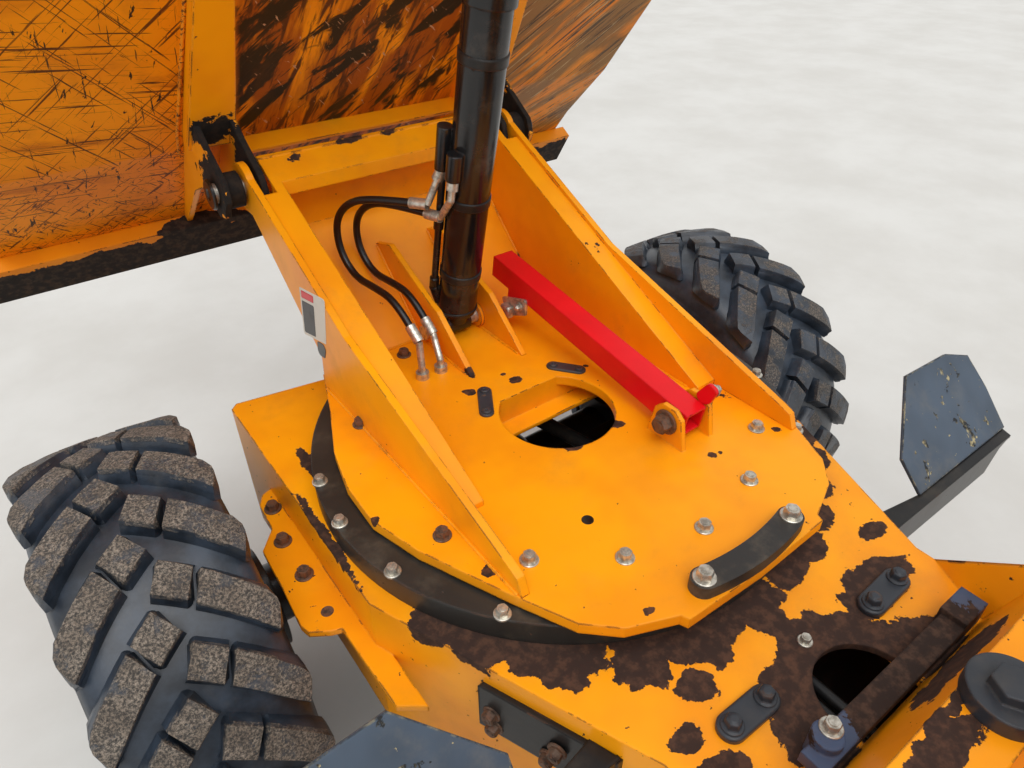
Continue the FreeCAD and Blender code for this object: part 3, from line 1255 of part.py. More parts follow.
def add_rear_half():
    """Rear frame and what is fixed to it."""
    nose = REAR_AXLE_Y - DIFF_R - 14
    NODES["rear_axle"] = axle(REAR_AXLE_Y, -1, nose, REAR_HALF_W - 30, AXLE_Z + ARCH_R - 20)
    NODES["rear_frame"] = rear_frame()
    NODES["rear_drive_shaft"] = drive_shaft(nose, PIVOT_Y + JOINT_GAP + JOINT_L, PIVOT_Y + JOINT_GAP)
    NODES["steer_cylinder_barrel"] = steer_barrel()
    NODES["steer_cylinder_rod"] = steer_rod()
    NODES["platform"] = platform()
    NODES["steps"] = pair(side_step())
    NODES["side_tanks"] = pair(side_tank())
    NODES["headlamps"] = pair(headlamp())
    NODES["rear_mudguards"] = pair(rear_mudguard())
    NODES["rear_bumper"] = rear_weight()
    NODES["rear_lamps"] = pair(rear_lamp())


def add_cab():
    """Driver's place, engine, bonnet and roll bar."""
    NODES["console"] = console()
    NODES["levers_and_pedals"] = Part.makeCompound([p.cut(console()) for p in control_levers() + pedals()])
    NODES["steering_wheel"] = handwheel()
    NODES["steering_column"] = steering_column().cut(console())
    NODES["seat_base"] = seat_base()
    NODES["seat_cushion"] = seat_cushion()
    NODES["seat_back"] = seat_back()
    NODES["engine"] = box(-ENGINE_X, ENGINE_X, *ENGINE_Y, FLOOR_Z, ENGINE_TOP_Z)
    NODES["bonnet"] = bonnet()
    NODES["radiator_grille"] = radiator_grille()
    NODES["engine_bulkhead"] = engine_cowl()
    NODES["exhaust"] = exhaust()
    NODES["rops_lower"] = pair(rops_lower())
    NODES["rops_upper"] = rops_upper()
    NODES["beacon"] = beacon()


def export():
    """Write every node with the origin at the bottom centre of the whole box."""
    whole = Part.makeCompound(list(NODES.values())).BoundBox
    middle = (whole.YMin + whole.YMax) / 2
    os.makedirs("parts", exist_ok=True)
    for name, shape in NODES.items():
        b = shape.BoundBox
        sizes = [round(v) for v in (b.XMin, b.XMax, b.YMin, b.YMax, b.ZMin, b.ZMax)]
        print(name, sizes, "solids", len(shape.Solids), "valid", shape.isValid())
        shape.translated(V(0, -middle, 0)).exportStep("parts/" + name + ".step")
    print("nodes", len(NODES), "origin at drawing Y", round(middle, 3))
    corners = (whole.XMin, whole.XMax, whole.YMin, whole.YMax, whole.ZMin, whole.ZMax)
    print("box", [round(v, 1) for v in corners])


add_wheels()
add_front_half()
add_turret()
add_rear_half()
add_cab()
export()
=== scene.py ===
"""Swivel-skip site dumper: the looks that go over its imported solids.

Pieces are drawn in millimetres in the drawing's frame, with X to the machine's
left, Y to its back, Z up and the turntable's centre over the origin. Each one
is turned to metres in the row frame as it is finished.
"""
from __future__ import annotations

import json
import logging
import math
import random
from dataclasses import dataclass
from enum import Enum
from typing import Optional, Sequence

import bmesh
import bpy
from mathutils import Matrix, Vector

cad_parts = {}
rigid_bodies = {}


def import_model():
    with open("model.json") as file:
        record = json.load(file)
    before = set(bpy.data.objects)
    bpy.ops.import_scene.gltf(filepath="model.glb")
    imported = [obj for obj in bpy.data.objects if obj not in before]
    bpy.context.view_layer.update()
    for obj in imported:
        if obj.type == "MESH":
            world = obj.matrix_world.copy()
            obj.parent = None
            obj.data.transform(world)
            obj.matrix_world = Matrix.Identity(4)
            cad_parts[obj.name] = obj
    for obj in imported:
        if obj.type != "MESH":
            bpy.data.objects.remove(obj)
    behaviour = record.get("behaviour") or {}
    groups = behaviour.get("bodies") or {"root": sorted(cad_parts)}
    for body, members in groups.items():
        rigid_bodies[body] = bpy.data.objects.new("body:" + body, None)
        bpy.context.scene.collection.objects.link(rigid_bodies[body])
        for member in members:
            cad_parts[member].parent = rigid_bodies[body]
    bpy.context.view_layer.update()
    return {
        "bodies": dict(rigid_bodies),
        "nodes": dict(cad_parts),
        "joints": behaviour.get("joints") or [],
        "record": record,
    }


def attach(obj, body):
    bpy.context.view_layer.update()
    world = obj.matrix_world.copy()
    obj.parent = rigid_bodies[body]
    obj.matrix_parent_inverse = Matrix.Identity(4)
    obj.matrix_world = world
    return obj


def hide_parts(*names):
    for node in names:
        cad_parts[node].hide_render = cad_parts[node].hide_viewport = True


log = logging.getLogger("site_dumper")

Point = Sequence[float]

MM = 0.001
# How far the row frame's origin lies behind the turntable's centre
ROW_SHIFT = 721.625
PHOTO_WIDTH = 1024
SENSOR_WIDTH = 36.0


def row(point: Point) -> Vector:
    """Point of the drawing, in millimetres, as metres in the row frame."""
    return Vector((point[0], point[1] - ROW_SHIFT, point[2])) * MM


def linear(colour: str) -> tuple[float, float, float, float]:
    """Linear colour of an sRGB hex value.

    Args:
        colour: Six hex digits after a hash sign.

    Returns:
        Red, green, blue and alpha for a shader socket.
    """
    values = []
    for start in (1, 3, 5):
        share = int(colour[start:start + 2], 16) / 255
        values.append(share / 12.92 if share <= 0.04045 else ((share + 0.055) / 1.055) ** 2.4)
    return values[0], values[1], values[2], 1.0


def add_node(tree: bpy.types.NodeTree, kind: str, inputs: Optional[dict] = None,
             **settings: object) -> bpy.types.Node:
    """Add a node with its settings and links.

    Args:
        tree: Node tree of a material or the world.
        kind: Blender's name of the node's type, less ShaderNode.
        inputs: What each input gets, by name or index: a value, a socket, a node's first output
            in use, or a hex colour.
        settings: Attributes of the node.

    Returns:
        The new node.
    """
    node = tree.nodes.new("ShaderNode" + kind)
    for name, value in settings.items():
        setattr(node, name, value)
    for key, value in (inputs or {}).items():
        if isinstance(value, bpy.types.Node):
            value = next(socket for socket in value.outputs if socket.enabled)
        if isinstance(value, bpy.types.NodeSocket):
            tree.links.new(value, node.inputs[key])
        else:
            node.inputs[key].default_value = linear(value) if isinstance(value, str) else value
    return node


def blotches(tree: bpy.types.NodeTree, place: bpy.types.NodeSocket, size_mm: float, low: float, high: float,
             detail: float = 6.0, rough: float = 0.62, warp: float = 0.0) -> bpy.types.Node:
    """Share of cover by irregular blotches.

    Args:
        tree: The material's node tree.
        place: Coordinates in metres.
        size_mm: Real size of one blotch.
        low: Noise at which the cover starts; 0.5 is the noise's middle.
        high: Noise at which the cover is whole.
        detail: Octaves of finer noise.
        rough: Weight of the finer octaves.
        warp: How far the noise twists itself.

    Returns:
        Node whose result is the cover, from 0 to 1.
    """
    noise = add_node(tree, "TexNoise", {"Vector": place, "Scale": 1000 / size_mm, "Detail": detail,
                                        "Roughness": rough, "Distortion": warp})
    return add_node(tree, "MapRange", {0: noise, 1: low, 2: high}, interpolation_type="SMOOTHSTEP")


def worn_edges(tree: bpy.types.NodeTree, width_mm: float) -> tuple[bpy.types.Node, bpy.types.Node]:
    """Where outer and inner edges lie.

    Args:
        tree: The material's node tree.
        width_mm: How far from an edge it is felt.

    Returns:
        Node with the share of edge, from 0 to 1, and node with the normal rounded at edges.
    """
    flat = add_node(tree, "NewGeometry")
    rounded_normal = add_node(tree, "Bevel", {"Radius": width_mm * MM}, samples=4)
    turn = add_node(tree, "VectorMath", {0: rounded_normal, 1: flat.outputs["Normal"]},
                    operation="DOT_PRODUCT")
    share = add_node(tree, "MapRange", {0: turn, 1: 0.999, 2: 0.86}, interpolation_type="SMOOTHSTEP")
    return share, rounded_normal


class Slot(Enum):
    """Material slots of the record."""

    YELLOW = "machine_yellow"
    BLACK = "black_paint"
    RED = "red_paint"
    RUBBER = "tyre_rubber"
    WORN = "worn_steel"
    ZINC = "zinc_plate"
    PLASTIC = "black_plastic"
    VINYL = "seat_vinyl"
    HOSE = "hose_rubber"
    LENS = "clear_lens"


class Body(Enum):
    """Moving bodies of the machine that carry new pieces."""

    REAR = "rear_half"
    FRONT = "front_half"
    TURRET = "turret"
    SKIP = "skip"
    RAM_BARREL = "tip_ram_barrel"
    PROP = "safety_prop"
    BONNET = "bonnet"
    ROPS = "rops_upper"
    HANDWHEEL = "steering_wheel"


@dataclass(frozen=True)
class Patch:
    """A place where a coat is worn through, as an ellipsoid in the drawing."""

    centre: tuple[float, float, float]
    radii: tuple[float, float, float]
    depth: float = 0.3


@dataclass(frozen=True)
class Finish:
    """A finish: a real material and how its surface was made."""

    name: str

    def material(self) -> bpy.types.Material:
        """Blender material of this finish, made once.

        Returns:
            The material, whose shader every piece in this finish shares.
        """
        known = bpy.data.materials.get(self.name)
        if known is not None:
            return known
        made = bpy.data.materials.new(self.name)
        made.use_nodes = True
        made.node_tree.nodes.clear()
        shader = add_node(made.node_tree, "BsdfPrincipled")
        add_node(made.node_tree, "OutputMaterial", {"Surface": shader})
        self.dress(made.node_tree, shader, add_node(made.node_tree, "TexCoord").outputs["Object"])
        return made

    def dress(self, tree: bpy.types.NodeTree, shader: bpy.types.Node, place: bpy.types.NodeSocket) -> None:
        """Set the shader's sockets; each finish has its own way.

        Args:
            tree: The material's node tree.
            shader: Its Principled shader.
            place: Object coordinates in metres.
        """
        raise NotImplementedError


@dataclass(frozen=True)
class ChippedEnamel(Finish):
    """Alkyd enamel sprayed on mild steel and knocked about on site.

    The film is glossy and a little wavy; where it is knocked off, dark scale and brown rust show
    with a sharp edge, and grime lies in the blotches round them.
    """

    coat: str = "#FFA60A"
    faded: str = "#F2940C"
    primer: str = "#33251F"
    rust: str = "#5C3A27"
    chips: float = 0.66
    chip_mm: float = 60.0
    edge_wear: float = 0.16
    edge_mm: float = 5.0
    dirt: str = "#6B5A44"
    dirt_share: float = 0.15
    specks: float = 0.72
    gloss: float = 0.34
    mirror: float = 0.3
    ragged_mm: float = 34.0
    patches: tuple[Patch, ...] = ()

    def worn_places(self, tree: bpy.types.NodeTree, place: bpy.types.NodeSocket) -> Optional[bpy.types.Node]:
        """The patches' fields, each fading out at its ellipsoid's ragged edge.

        Args:
            tree: The material's node tree.
            place: Object coordinates in metres.

        Returns:
            Node with the deepest patch's depth at each place, or None without patches.
        """
        if not self.patches:
            return None
        # Flakes of paint break off some 32 mm wide, which makes a patch's outline ragged
        ragged = add_node(tree, "TexNoise", {"Vector": place, "Scale": 1000 / 32.0, "Detail": 5.0,
                                             "Roughness": 0.62})
        drift = add_node(tree, "VectorMath", {0: ragged.outputs["Color"], 1: (0.5, 0.5, 0.5)},
                         operation="SUBTRACT")
        drift = add_node(tree, "VectorMath", {0: drift, 1: (self.ragged_mm * MM,) * 3}, operation="MULTIPLY")
        place = add_node(tree, "VectorMath", {0: drift, 1: place}, operation="ADD").outputs[0]
        total = None
        for patch in self.patches:
            off = add_node(tree, "VectorMath", {0: place, 1: row(patch.centre)}, operation="SUBTRACT")
            inside = add_node(tree, "VectorMath", {0: off, 1: [1000 / r for r in patch.radii]},
                              operation="MULTIPLY")
            length = add_node(tree, "VectorMath", {0: inside}, operation="LENGTH")
            near = add_node(tree, "MapRange", {0: length, 1: 0.5, 2: 1.2, 3: patch.depth, 4: 0.0})
            if total is None:
                total = near
            else:
                total = add_node(tree, "Math", {0: total, 1: near}, operation="MAXIMUM")
        return total

    def coat_colour(self, tree: bpy.types.NodeTree, place: bpy.types.NodeSocket) -> bpy.types.Node:
        """Colour of the film, faded in broad clouds."""
        tone = blotches(tree, place, 240.0, 0.35, 0.7, 3.0)
        return add_node(tree, "Mix", {0: tone, 6: self.coat, 7: self.faded}, data_type="RGBA")

    def dress(self, tree: bpy.types.NodeTree, shader: bpy.types.Node, place: bpy.types.NodeSocket) -> None:
        """Coat, chips down to primer and rust, specks, grime and a wavy film.

        Args:
            tree: The material's node tree.
            shader: Its Principled shader.
            place: Object coordinates in metres.
        """
        edge, soft = worn_edges(tree, self.edge_mm)
        field = add_node(tree, "TexNoise", {"Vector": place, "Scale": 1000 / self.chip_mm, "Detail": 9.0,
                                            "Roughness": 0.62, "Distortion": 0.3})
        wear = add_node(tree, "Math", {0: edge, 1: self.edge_wear, 2: field}, operation="MULTIPLY_ADD")
        worn = self.worn_places(tree, place)
        if worn is not None:
            wear = add_node(tree, "Math", {0: wear, 1: worn}, operation="ADD")
        chip = add_node(tree, "MapRange", {0: wear, 1: self.chips, 2: self.chips + 0.012})
        speck = blotches(tree, place, 13.0, self.specks, self.specks + 0.02, 4.0, 0.55)
        bare = add_node(tree, "Math", {0: chip, 1: speck}, operation="MAXIMUM")
        rusty = blotches(tree, place, 16.0, 0.42, 0.66)
        under = add_node(tree, "Mix", {0: rusty, 6: self.primer, 7: self.rust}, data_type="RGBA")
        coat = self.coat_colour(tree, place)
        grime = add_node(tree, "Math", {0: blotches(tree, place, 130.0, 0.48, 0.78, 8.0, 0.68),
                                        1: self.dirt_share}, operation="MULTIPLY")
        if worn is not None:
            grime = add_node(tree, "Math", {0: worn, 1: 0.3, 2: grime}, operation="MULTIPLY_ADD")
        coat = add_node(tree, "Mix", {0: grime, 6: coat, 7: self.dirt}, data_type="RGBA")
        tree.links.new(add_node(tree, "Mix", {0: bare, 6: coat, 7: under}, data_type="RGBA").outputs[2],
                       shader.inputs["Base Color"])
        # A site machine's film is dulled by dust, so that it mirrors less than a clean one
        shader.inputs["Specular IOR Level"].default_value = self.mirror
        film = add_node(tree, "Math", {0: grime, 1: 0.4, 2: self.gloss}, operation="MULTIPLY_ADD")
        rough = add_node(tree, "Mix", {0: bare, 2: film, 3: 0.82})
        tree.links.new(rough.outputs[0], shader.inputs["Roughness"])
        # A sprayed film waves a little over some 26 mm, and a chip is about as deep as the coat
        wave = add_node(tree, "TexNoise", {"Vector": place, "Scale": 1000 / 26.0, "Detail": 2.0})
        height = add_node(tree, "Math", {0: wave, 1: 0.5, 2: bare}, operation="MULTIPLY_ADD")
        height = add_node(tree, "Math", {0: bare, 1: -2.0, 2: height}, operation="MULTIPLY_ADD")
        bump = add_node(tree, "Bump", {"Height": height, "Strength": 0.6, "Distance": 0.0008, "Normal": soft})
        tree.links.new(bump.outputs[0], shader.inputs["Normal"])


@dataclass(frozen=True)
class Scrape:
    """One layer of scrapes on a panel of the skip.

    Its reach runs across the skip from its right to its left end, in millimetres. Each stroke
    follows the way, and its length and width are its size. A higher start leaves fewer strokes.
    """

    right: float
    left: float
    way: tuple[float, float, float]
    size: tuple[float, float]
    start: float
    colour: str
    blend: float = 0.04


@dataclass(frozen=True)
class ScrapedEnamel(ChippedEnamel):
    """Enamel under the skip, scraped by stone and spoil in long strokes down to rust and old coats."""

    scrapes: tuple[Scrape, ...] = ()
    fade_mm: float = 20.0

    def coat_colour(self, tree: bpy.types.NodeTree, place: bpy.types.NodeSocket) -> bpy.types.Node:
        """Film with every layer of scrapes laid over it.

        Args:
            tree: The material's node tree.
            place: Object coordinates in metres.

        Returns:
            Node with the film's colour.
        """
        coat = super().coat_colour(tree, place)
        across = add_node(tree, "SeparateXYZ", {0: place}).outputs["X"]
        for scrape in self.scrapes:
            middle = (scrape.left + scrape.right) / 2 * MM
            half = (scrape.left - scrape.right) / 2 * MM
            off = add_node(tree, "Math", {0: across, 1: middle}, operation="SUBTRACT")
            off = add_node(tree, "Math", {0: off}, operation="ABSOLUTE")
            inside = add_node(tree, "MapRange", {0: off, 1: half, 2: half - self.fade_mm * MM})
            long, wide = (s * MM for s in scrape.size)
            turn = Vector(scrape.way).to_track_quat("X", "Z").to_euler()
            strokes = add_node(tree, "Mapping", {"Vector": place, "Rotation": turn,
                                                 "Scale": (long, wide, wide)}, vector_type="TEXTURE")
            laid = blotches(tree, strokes.outputs[0], 1000.0, scrape.start, scrape.start + scrape.blend,
                            5.0, 0.6, 0.5)
            laid = add_node(tree, "Math", {0: laid, 1: inside}, operation="MULTIPLY")
            coat = add_node(tree, "Mix", {0: laid, 6: coat, 7: scrape.colour}, data_type="RGBA")
        return coat


@dataclass(frozen=True)
class PlatedSteel(Finish):
    """Zinc-plated steel of bolts and hose ends: pale and dull, with rust spots."""

    bright: str = "#D6D2C6"
    dull: str = "#98948A"
    rust: str = "#6A4630"
    rust_from: float = 0.62
    metallic: float = 0.8
    gloss: float = 0.3

    def dress(self, tree: bpy.types.NodeTree, shader: bpy.types.Node, place: bpy.types.NodeSocket) -> None:
        """Plating that dulls in blotches and rusts in spots.

        Args:
            tree: The material's node tree.
            shader: Its Principled shader.
            place: Object coordinates in metres.
        """
        blotch = blotches(tree, place, 14.0, 0.38, 0.66)
        plate = add_node(tree, "Mix", {0: blotch, 6: self.bright, 7: self.dull}, data_type="RGBA")
        rusty = blotches(tree, place, 9.0, self.rust_from, self.rust_from + 0.12, 7.0, 0.7)
        colour = add_node(tree, "Mix", {0: rusty, 6: plate, 7: self.rust}, data_type="RGBA")
        tree.links.new(colour.outputs[2], shader.inputs["Base Color"])
        metal = add_node(tree, "Math", {0: rusty, 1: -self.metallic, 2: self.metallic},
                         operation="MULTIPLY_ADD")
        tree.links.new(metal.outputs[0], shader.inputs["Metallic"])
        rough = add_node(tree, "Math", {0: blotch, 1: 0.3, 2: self.gloss}, operation="MULTIPLY_ADD")
        tree.links.new(rough.outputs[0], shader.inputs["Roughness"])
        bump = add_node(tree, "Bump", {"Height": blotch, "Strength": 0.35, "Distance": 0.0005})
        tree.links.new(bump.outputs[0], shader.inputs["Normal"])


@dataclass(frozen=True)
class TreadRubber(Finish):
    """Natural rubber moulded in a tyre: near black with a blue-grey painted sky sheen, and sandy grit on the
    worn lug tops.
    """

    # The bare rubber's two blue-grey tones are painted sky sheen over near-black rubber
    clean: str = "#38424F"
    wet: str = "#1B2129"
    film: str = "#5E5A54"
    grit: str = "#3A3734"
    sand: str = "#9C9082"
    damp_sand: str = "#85786A"
    cover: float = 1.0

    def dress(self, tree: bpy.types.NodeTree, shader: bpy.types.Node, place: bpy.types.NodeSocket) -> None:
        """Grit of 1 to 3 mm where the mesh says that dust lies, drying rubber elsewhere, its blue-grey a
        painted sky sheen.

        Args:
            tree: The material's node tree.
            shader: Its Principled shader.
            place: Object coordinates in metres.
        """
        dust = add_node(tree, "Attribute", attribute_name="dust").outputs["Fac"]
        blotch = blotches(tree, place, 70.0, 0.3, 0.7, 5.0)
        # Painted sky sheen: bare rubber mixed from the two blue-grey tones
        rubber = add_node(tree, "Mix", {0: blotch, 6: self.clean, 7: self.wet}, data_type="RGBA")
        powder = add_node(tree, "Math", {0: blotches(tree, place, 90.0, 0.5, 0.8, 6.0, 0.7), 1: 0.4},
                          operation="MULTIPLY")
        rubber = add_node(tree, "Mix", {0: powder, 6: rubber, 7: self.film}, data_type="RGBA")
        fine = add_node(tree, "TexNoise", {"Vector": place, "Scale": 1000 / 4.0, "Detail": 4.0,
                                           "Roughness": 0.8})
        grains = add_node(tree, "MapRange", {0: fine, 1: 0.4, 2: 0.66}, interpolation_type="SMOOTHSTEP")
        tone = blotches(tree, place, 35.0, 0.35, 0.65, 4.0)
        pale = add_node(tree, "Mix", {0: tone, 6: self.sand, 7: self.damp_sand}, data_type="RGBA")
        sand = add_node(tree, "Mix", {0: grains, 6: self.grit, 7: pale}, data_type="RGBA")
        thin = blotches(tree, place, 45.0, 0.44, 0.62, 7.0, 0.7)
        dust = add_node(tree, "Math", {0: dust, 1: self.cover}, operation="MULTIPLY")
        cover = add_node(tree, "Math", {0: thin, 1: -0.55, 2: dust}, operation="MULTIPLY_ADD")
        cover = add_node(tree, "Math", {0: fine, 1: 0.5, 2: cover}, operation="MULTIPLY_ADD")
        laid = add_node(tree, "MapRange", {0: cover, 1: 0.5, 2: 1.05}, interpolation_type="SMOOTHSTEP")
        colour = add_node(tree, "Mix", {0: laid, 6: rubber, 7: sand}, data_type="RGBA")
        tree.links.new(colour.outputs[2], shader.inputs["Base Color"])
        rough = add_node(tree, "Math", {0: laid, 1: 0.5, 2: 0.36}, operation="MULTIPLY_ADD")
        tree.links.new(rough.outputs[0], shader.inputs["Roughness"])
        depth = add_node(tree, "Math", {0: laid, 1: 0.9, 2: 0.1}, operation="MULTIPLY_ADD")
        height = add_node(tree, "Math", {0: fine, 1: depth}, operation="MULTIPLY")
        bump = add_node(tree, "Bump", {"Height": height, "Strength": 0.9, "Distance": 0.0022})
        tree.links.new(bump.outputs[0], shader.inputs["Normal"])


@dataclass(frozen=True)
class MouldedRubber(Finish):
    """Rubber or plastic from a mould: near black and satin, with dust in its pores."""

    colour: str = "#17171A"
    dust: str = "#5A554D"
    dust_share: float = 0.25
    gloss: float = 0.45
    pore_mm: float = 3.0

    def dress(self, tree: bpy.types.NodeTree, shader: bpy.types.Node, place: bpy.types.NodeSocket) -> None:
        """Fine pores, drawn coarser than real ones so that they show, and a dusty bloom.

        Args:
            tree: The material's node tree.
            shader: Its Principled shader.
            place: Object coordinates in metres.
        """
        bloom = blotches(tree, place, 70.0, 0.46, 0.78, 7.0, 0.68)
        pores = add_node(tree, "TexNoise", {"Vector": place, "Scale": 1000 / self.pore_mm, "Detail": 2.0})
        dusty = add_node(tree, "Math", {0: bloom, 1: self.dust_share}, operation="MULTIPLY")
        colour = add_node(tree, "Mix", {0: dusty, 6: self.colour, 7: self.dust}, data_type="RGBA")
        tree.links.new(colour.outputs[2], shader.inputs["Base Color"])
        rough = add_node(tree, "Math", {0: bloom, 1: 0.22, 2: self.gloss}, operation="MULTIPLY_ADD")
        tree.links.new(rough.outputs[0], shader.inputs["Roughness"])
        bump = add_node(tree, "Bump", {"Height": pores, "Strength": 0.25, "Distance": 0.0006})
        tree.links.new(bump.outputs[0], shader.inputs["Normal"])


@dataclass(frozen=True)
class BareSteel(Finish):
    """Hot-rolled or cast steel left bare: brown rust over dark scale, rubbed bright at its edges."""

    scale: str = "#2E2826"
    rust: str = "#6B432C"
    rubbed: str = "#8A8378"
    cover: float = 0.5
    metallic: float = 0.2

    def dress(self, tree: bpy.types.NodeTree, shader: bpy.types.Node, place: bpy.types.NodeSocket) -> None:
        """Rust in layers, with rubbed edges.

        Args:
            tree: The material's node tree.
            shader: Its Principled shader.
            place: Object coordinates in metres.
        """
        edge, soft = worn_edges(tree, 3.0)
        layers = add_node(tree, "TexNoise", {"Vector": place, "Scale": 1000 / 34.0, "Detail": 9.0,
                                             "Roughness": 0.68, "Distortion": 0.4})
        start = 0.66 - 0.3 * self.cover
        rusty = add_node(tree, "MapRange", {0: layers, 1: start, 2: start + 0.14},
                         interpolation_type="SMOOTHSTEP")
        clean = add_node(tree, "MapRange", {0: layers, 1: 0.62, 2: 0.4})
        bright = add_node(tree, "Math", {0: edge, 1: clean}, operation="MULTIPLY")
        colour = add_node(tree, "Mix", {0: rusty, 6: self.scale, 7: self.rust}, data_type="RGBA")
        colour = add_node(tree, "Mix", {0: bright, 6: colour, 7: self.rubbed}, data_type="RGBA")
        tree.links.new(colour.outputs[2], shader.inputs["Base Color"])
        metal = add_node(tree, "Math", {0: bright, 1: 0.4, 2: self.metallic}, operation="MULTIPLY_ADD")
        tree.links.new(metal.outputs[0], shader.inputs["Metallic"])
        rough = add_node(tree, "Math", {0: rusty, 1: 0.3, 2: 0.52}, operation="MULTIPLY_ADD")
        tree.links.new(rough.outputs[0], shader.inputs["Roughness"])
        bump = add_node(tree, "Bump", {"Height": layers, "Strength": 0.6, "Distance": 0.0015, "Normal": soft})
        tree.links.new(bump.outputs[0], shader.inputs["Normal"])


@dataclass(frozen=True)
class ChromedBar(Finish):
    """Hard-chromed ground bar of a cylinder's rod, with a film of dirty oil."""

    colour: str = "#C9CACC"
    oil: str = "#4A443C"

    def dress(self, tree: bpy.types.NodeTree, shader: bpy.types.Node, place: bpy.types.NodeSocket) -> None:
        """Bright metal under a thin film.

        Args:
            tree: The material's node tree.
            shader: Its Principled shader.
            place: Object coordinates in metres.
        """
        film = blotches(tree, place, 30.0, 0.5, 0.85, 6.0, 0.7)
        colour = add_node(tree, "Mix", {0: film, 6: self.colour, 7: self.oil}, data_type="RGBA")
        tree.links.new(colour.outputs[2], shader.inputs["Base Color"])
        shader.inputs["Metallic"].default_value = 1.0
        rough = add_node(tree, "Math", {0: film, 1: 0.35, 2: 0.12}, operation="MULTIPLY_ADD")
        tree.links.new(rough.outputs[0], shader.inputs["Roughness"])


@dataclass(frozen=True)
class MouldedLens(Finish):
    """Moulded acrylic of a lamp: 7 mm prisms behind a glossy skin."""

    colour: str = "#B3160F"
    deep: str = "#5A0D08"
    prism_mm: float = 7.0

    def dress(self, tree: bpy.types.NodeTree, shader: bpy.types.Node, place: bpy.types.NodeSocket) -> None:
        """Prisms as crossing ribs under a glossy coat.

        Args:
            tree: The material's node tree.
            shader: Its Principled shader.
            place: Object coordinates in metres.
        """
        scale = 1000 / self.prism_mm / math.pi
        ribs = add_node(tree, "TexWave", {"Vector": place, "Scale": scale}, bands_direction="X")
        cross = add_node(tree, "TexWave", {"Vector": place, "Scale": scale}, bands_direction="Z")
        grid = add_node(tree, "Math", {0: ribs.outputs["Fac"], 1: cross.outputs["Fac"]}, operation="ADD")
        share = add_node(tree, "MapRange", {0: grid, 1: 0.2, 2: 1.6})
        colour = add_node(tree, "Mix", {0: share, 6: self.deep, 7: self.colour}, data_type="RGBA")
        tree.links.new(colour.outputs[2], shader.inputs["Base Color"])
        shader.inputs["Roughness"].default_value = 0.15
        shader.inputs["Coat Weight"].default_value = 0.6
        bump = add_node(tree, "Bump", {"Height": grid, "Strength": 0.5, "Distance": 0.001})
        tree.links.new(bump.outputs[0], shader.inputs["Normal"])


@dataclass(frozen=True)
class CoatedCloth(Finish):
    """Vinyl-coated cloth of a machine's seat: pressed grain, soft sheen, dusty hollows."""

    colour: str = "#1D1D20"
    dust: str = "#6E675C"

    def dress(self, tree: bpy.types.NodeTree, shader: bpy.types.Node, place: bpy.types.NodeSocket) -> None:
        """A pebble grain of about 1.5 mm, drawn at 2.5 mm so that it shows.

        Args:
            tree: The material's node tree.
            shader: Its Principled shader.
            place: Object coordinates in metres.
        """
        pebble = add_node(tree, "TexVoronoi", {"Vector": place, "Scale": 1000 / 2.5}, feature="SMOOTH_F1")
        bloom = blotches(tree, place, 110.0, 0.45, 0.8)
        dusty = add_node(tree, "Math", {0: bloom, 1: 0.3}, operation="MULTIPLY")
        colour = add_node(tree, "Mix", {0: dusty, 6: self.colour, 7: self.dust}, data_type="RGBA")
        tree.links.new(colour.outputs[2], shader.inputs["Base Color"])
        rough = add_node(tree, "Math", {0: bloom, 1: 0.2, 2: 0.44}, operation="MULTIPLY_ADD")
        tree.links.new(rough.outputs[0], shader.inputs["Roughness"])
        shader.inputs["Sheen Weight"].default_value = 0.15
        bump = add_node(tree, "Bump", {"Height": pebble, "Strength": 0.35, "Distance": 0.0006})
        tree.links.new(bump.outputs[0], shader.inputs["Normal"])


@dataclass(frozen=True)
class Plane:
    """A flat place in the drawing: an origin and two directions across it."""

    origin: Point = (0.0, 0.0, 0.0)
    across: Point = (1.0, 0.0, 0.0)
    up: Point = (0.0, 1.0, 0.0)

    def point(self, u: float, v: float, height: float = 0.0) -> Vector:
        """Point of the drawing at a place on the plane and a height off it."""
        x, y = Vector(self.across).normalized(), Vector(self.up).normalized()
        return Vector(self.origin) + x * u + y * v + x.cross(y) * height


def rounded(corners: Sequence[Point], radius: float, inset: float = 0.0, steps: int = 5) -> list[Point]:
    """Convex outline with round corners.

    Args:
        corners: Corner points, anticlockwise.
        radius: Corner radius before the inset.
        inset: How far the outline is set in.
        steps: Spans on each corner's arc.

    Returns:
        Points of the closed outline.
    """
    points = []
    for i, corner in enumerate(corners):
        here = Vector(corner)
        back = (Vector(corners[i - 1]) - here).normalized()
        ahead = (Vector(corners[(i + 1) % len(corners)]) - here).normalized()
        half = back.angle(ahead) / 2
        middle = here + (back + ahead).normalized() * (radius / math.sin(half))
        first = (here + back * (radius / math.tan(half)) - middle).normalized()
        last = (here + ahead * (radius / math.tan(half)) - middle).normalized()
        for k in range(steps + 1):
            at = middle + first.slerp(last, k / steps) * (radius - inset)
            points.append((at.x, at.y))
    return points


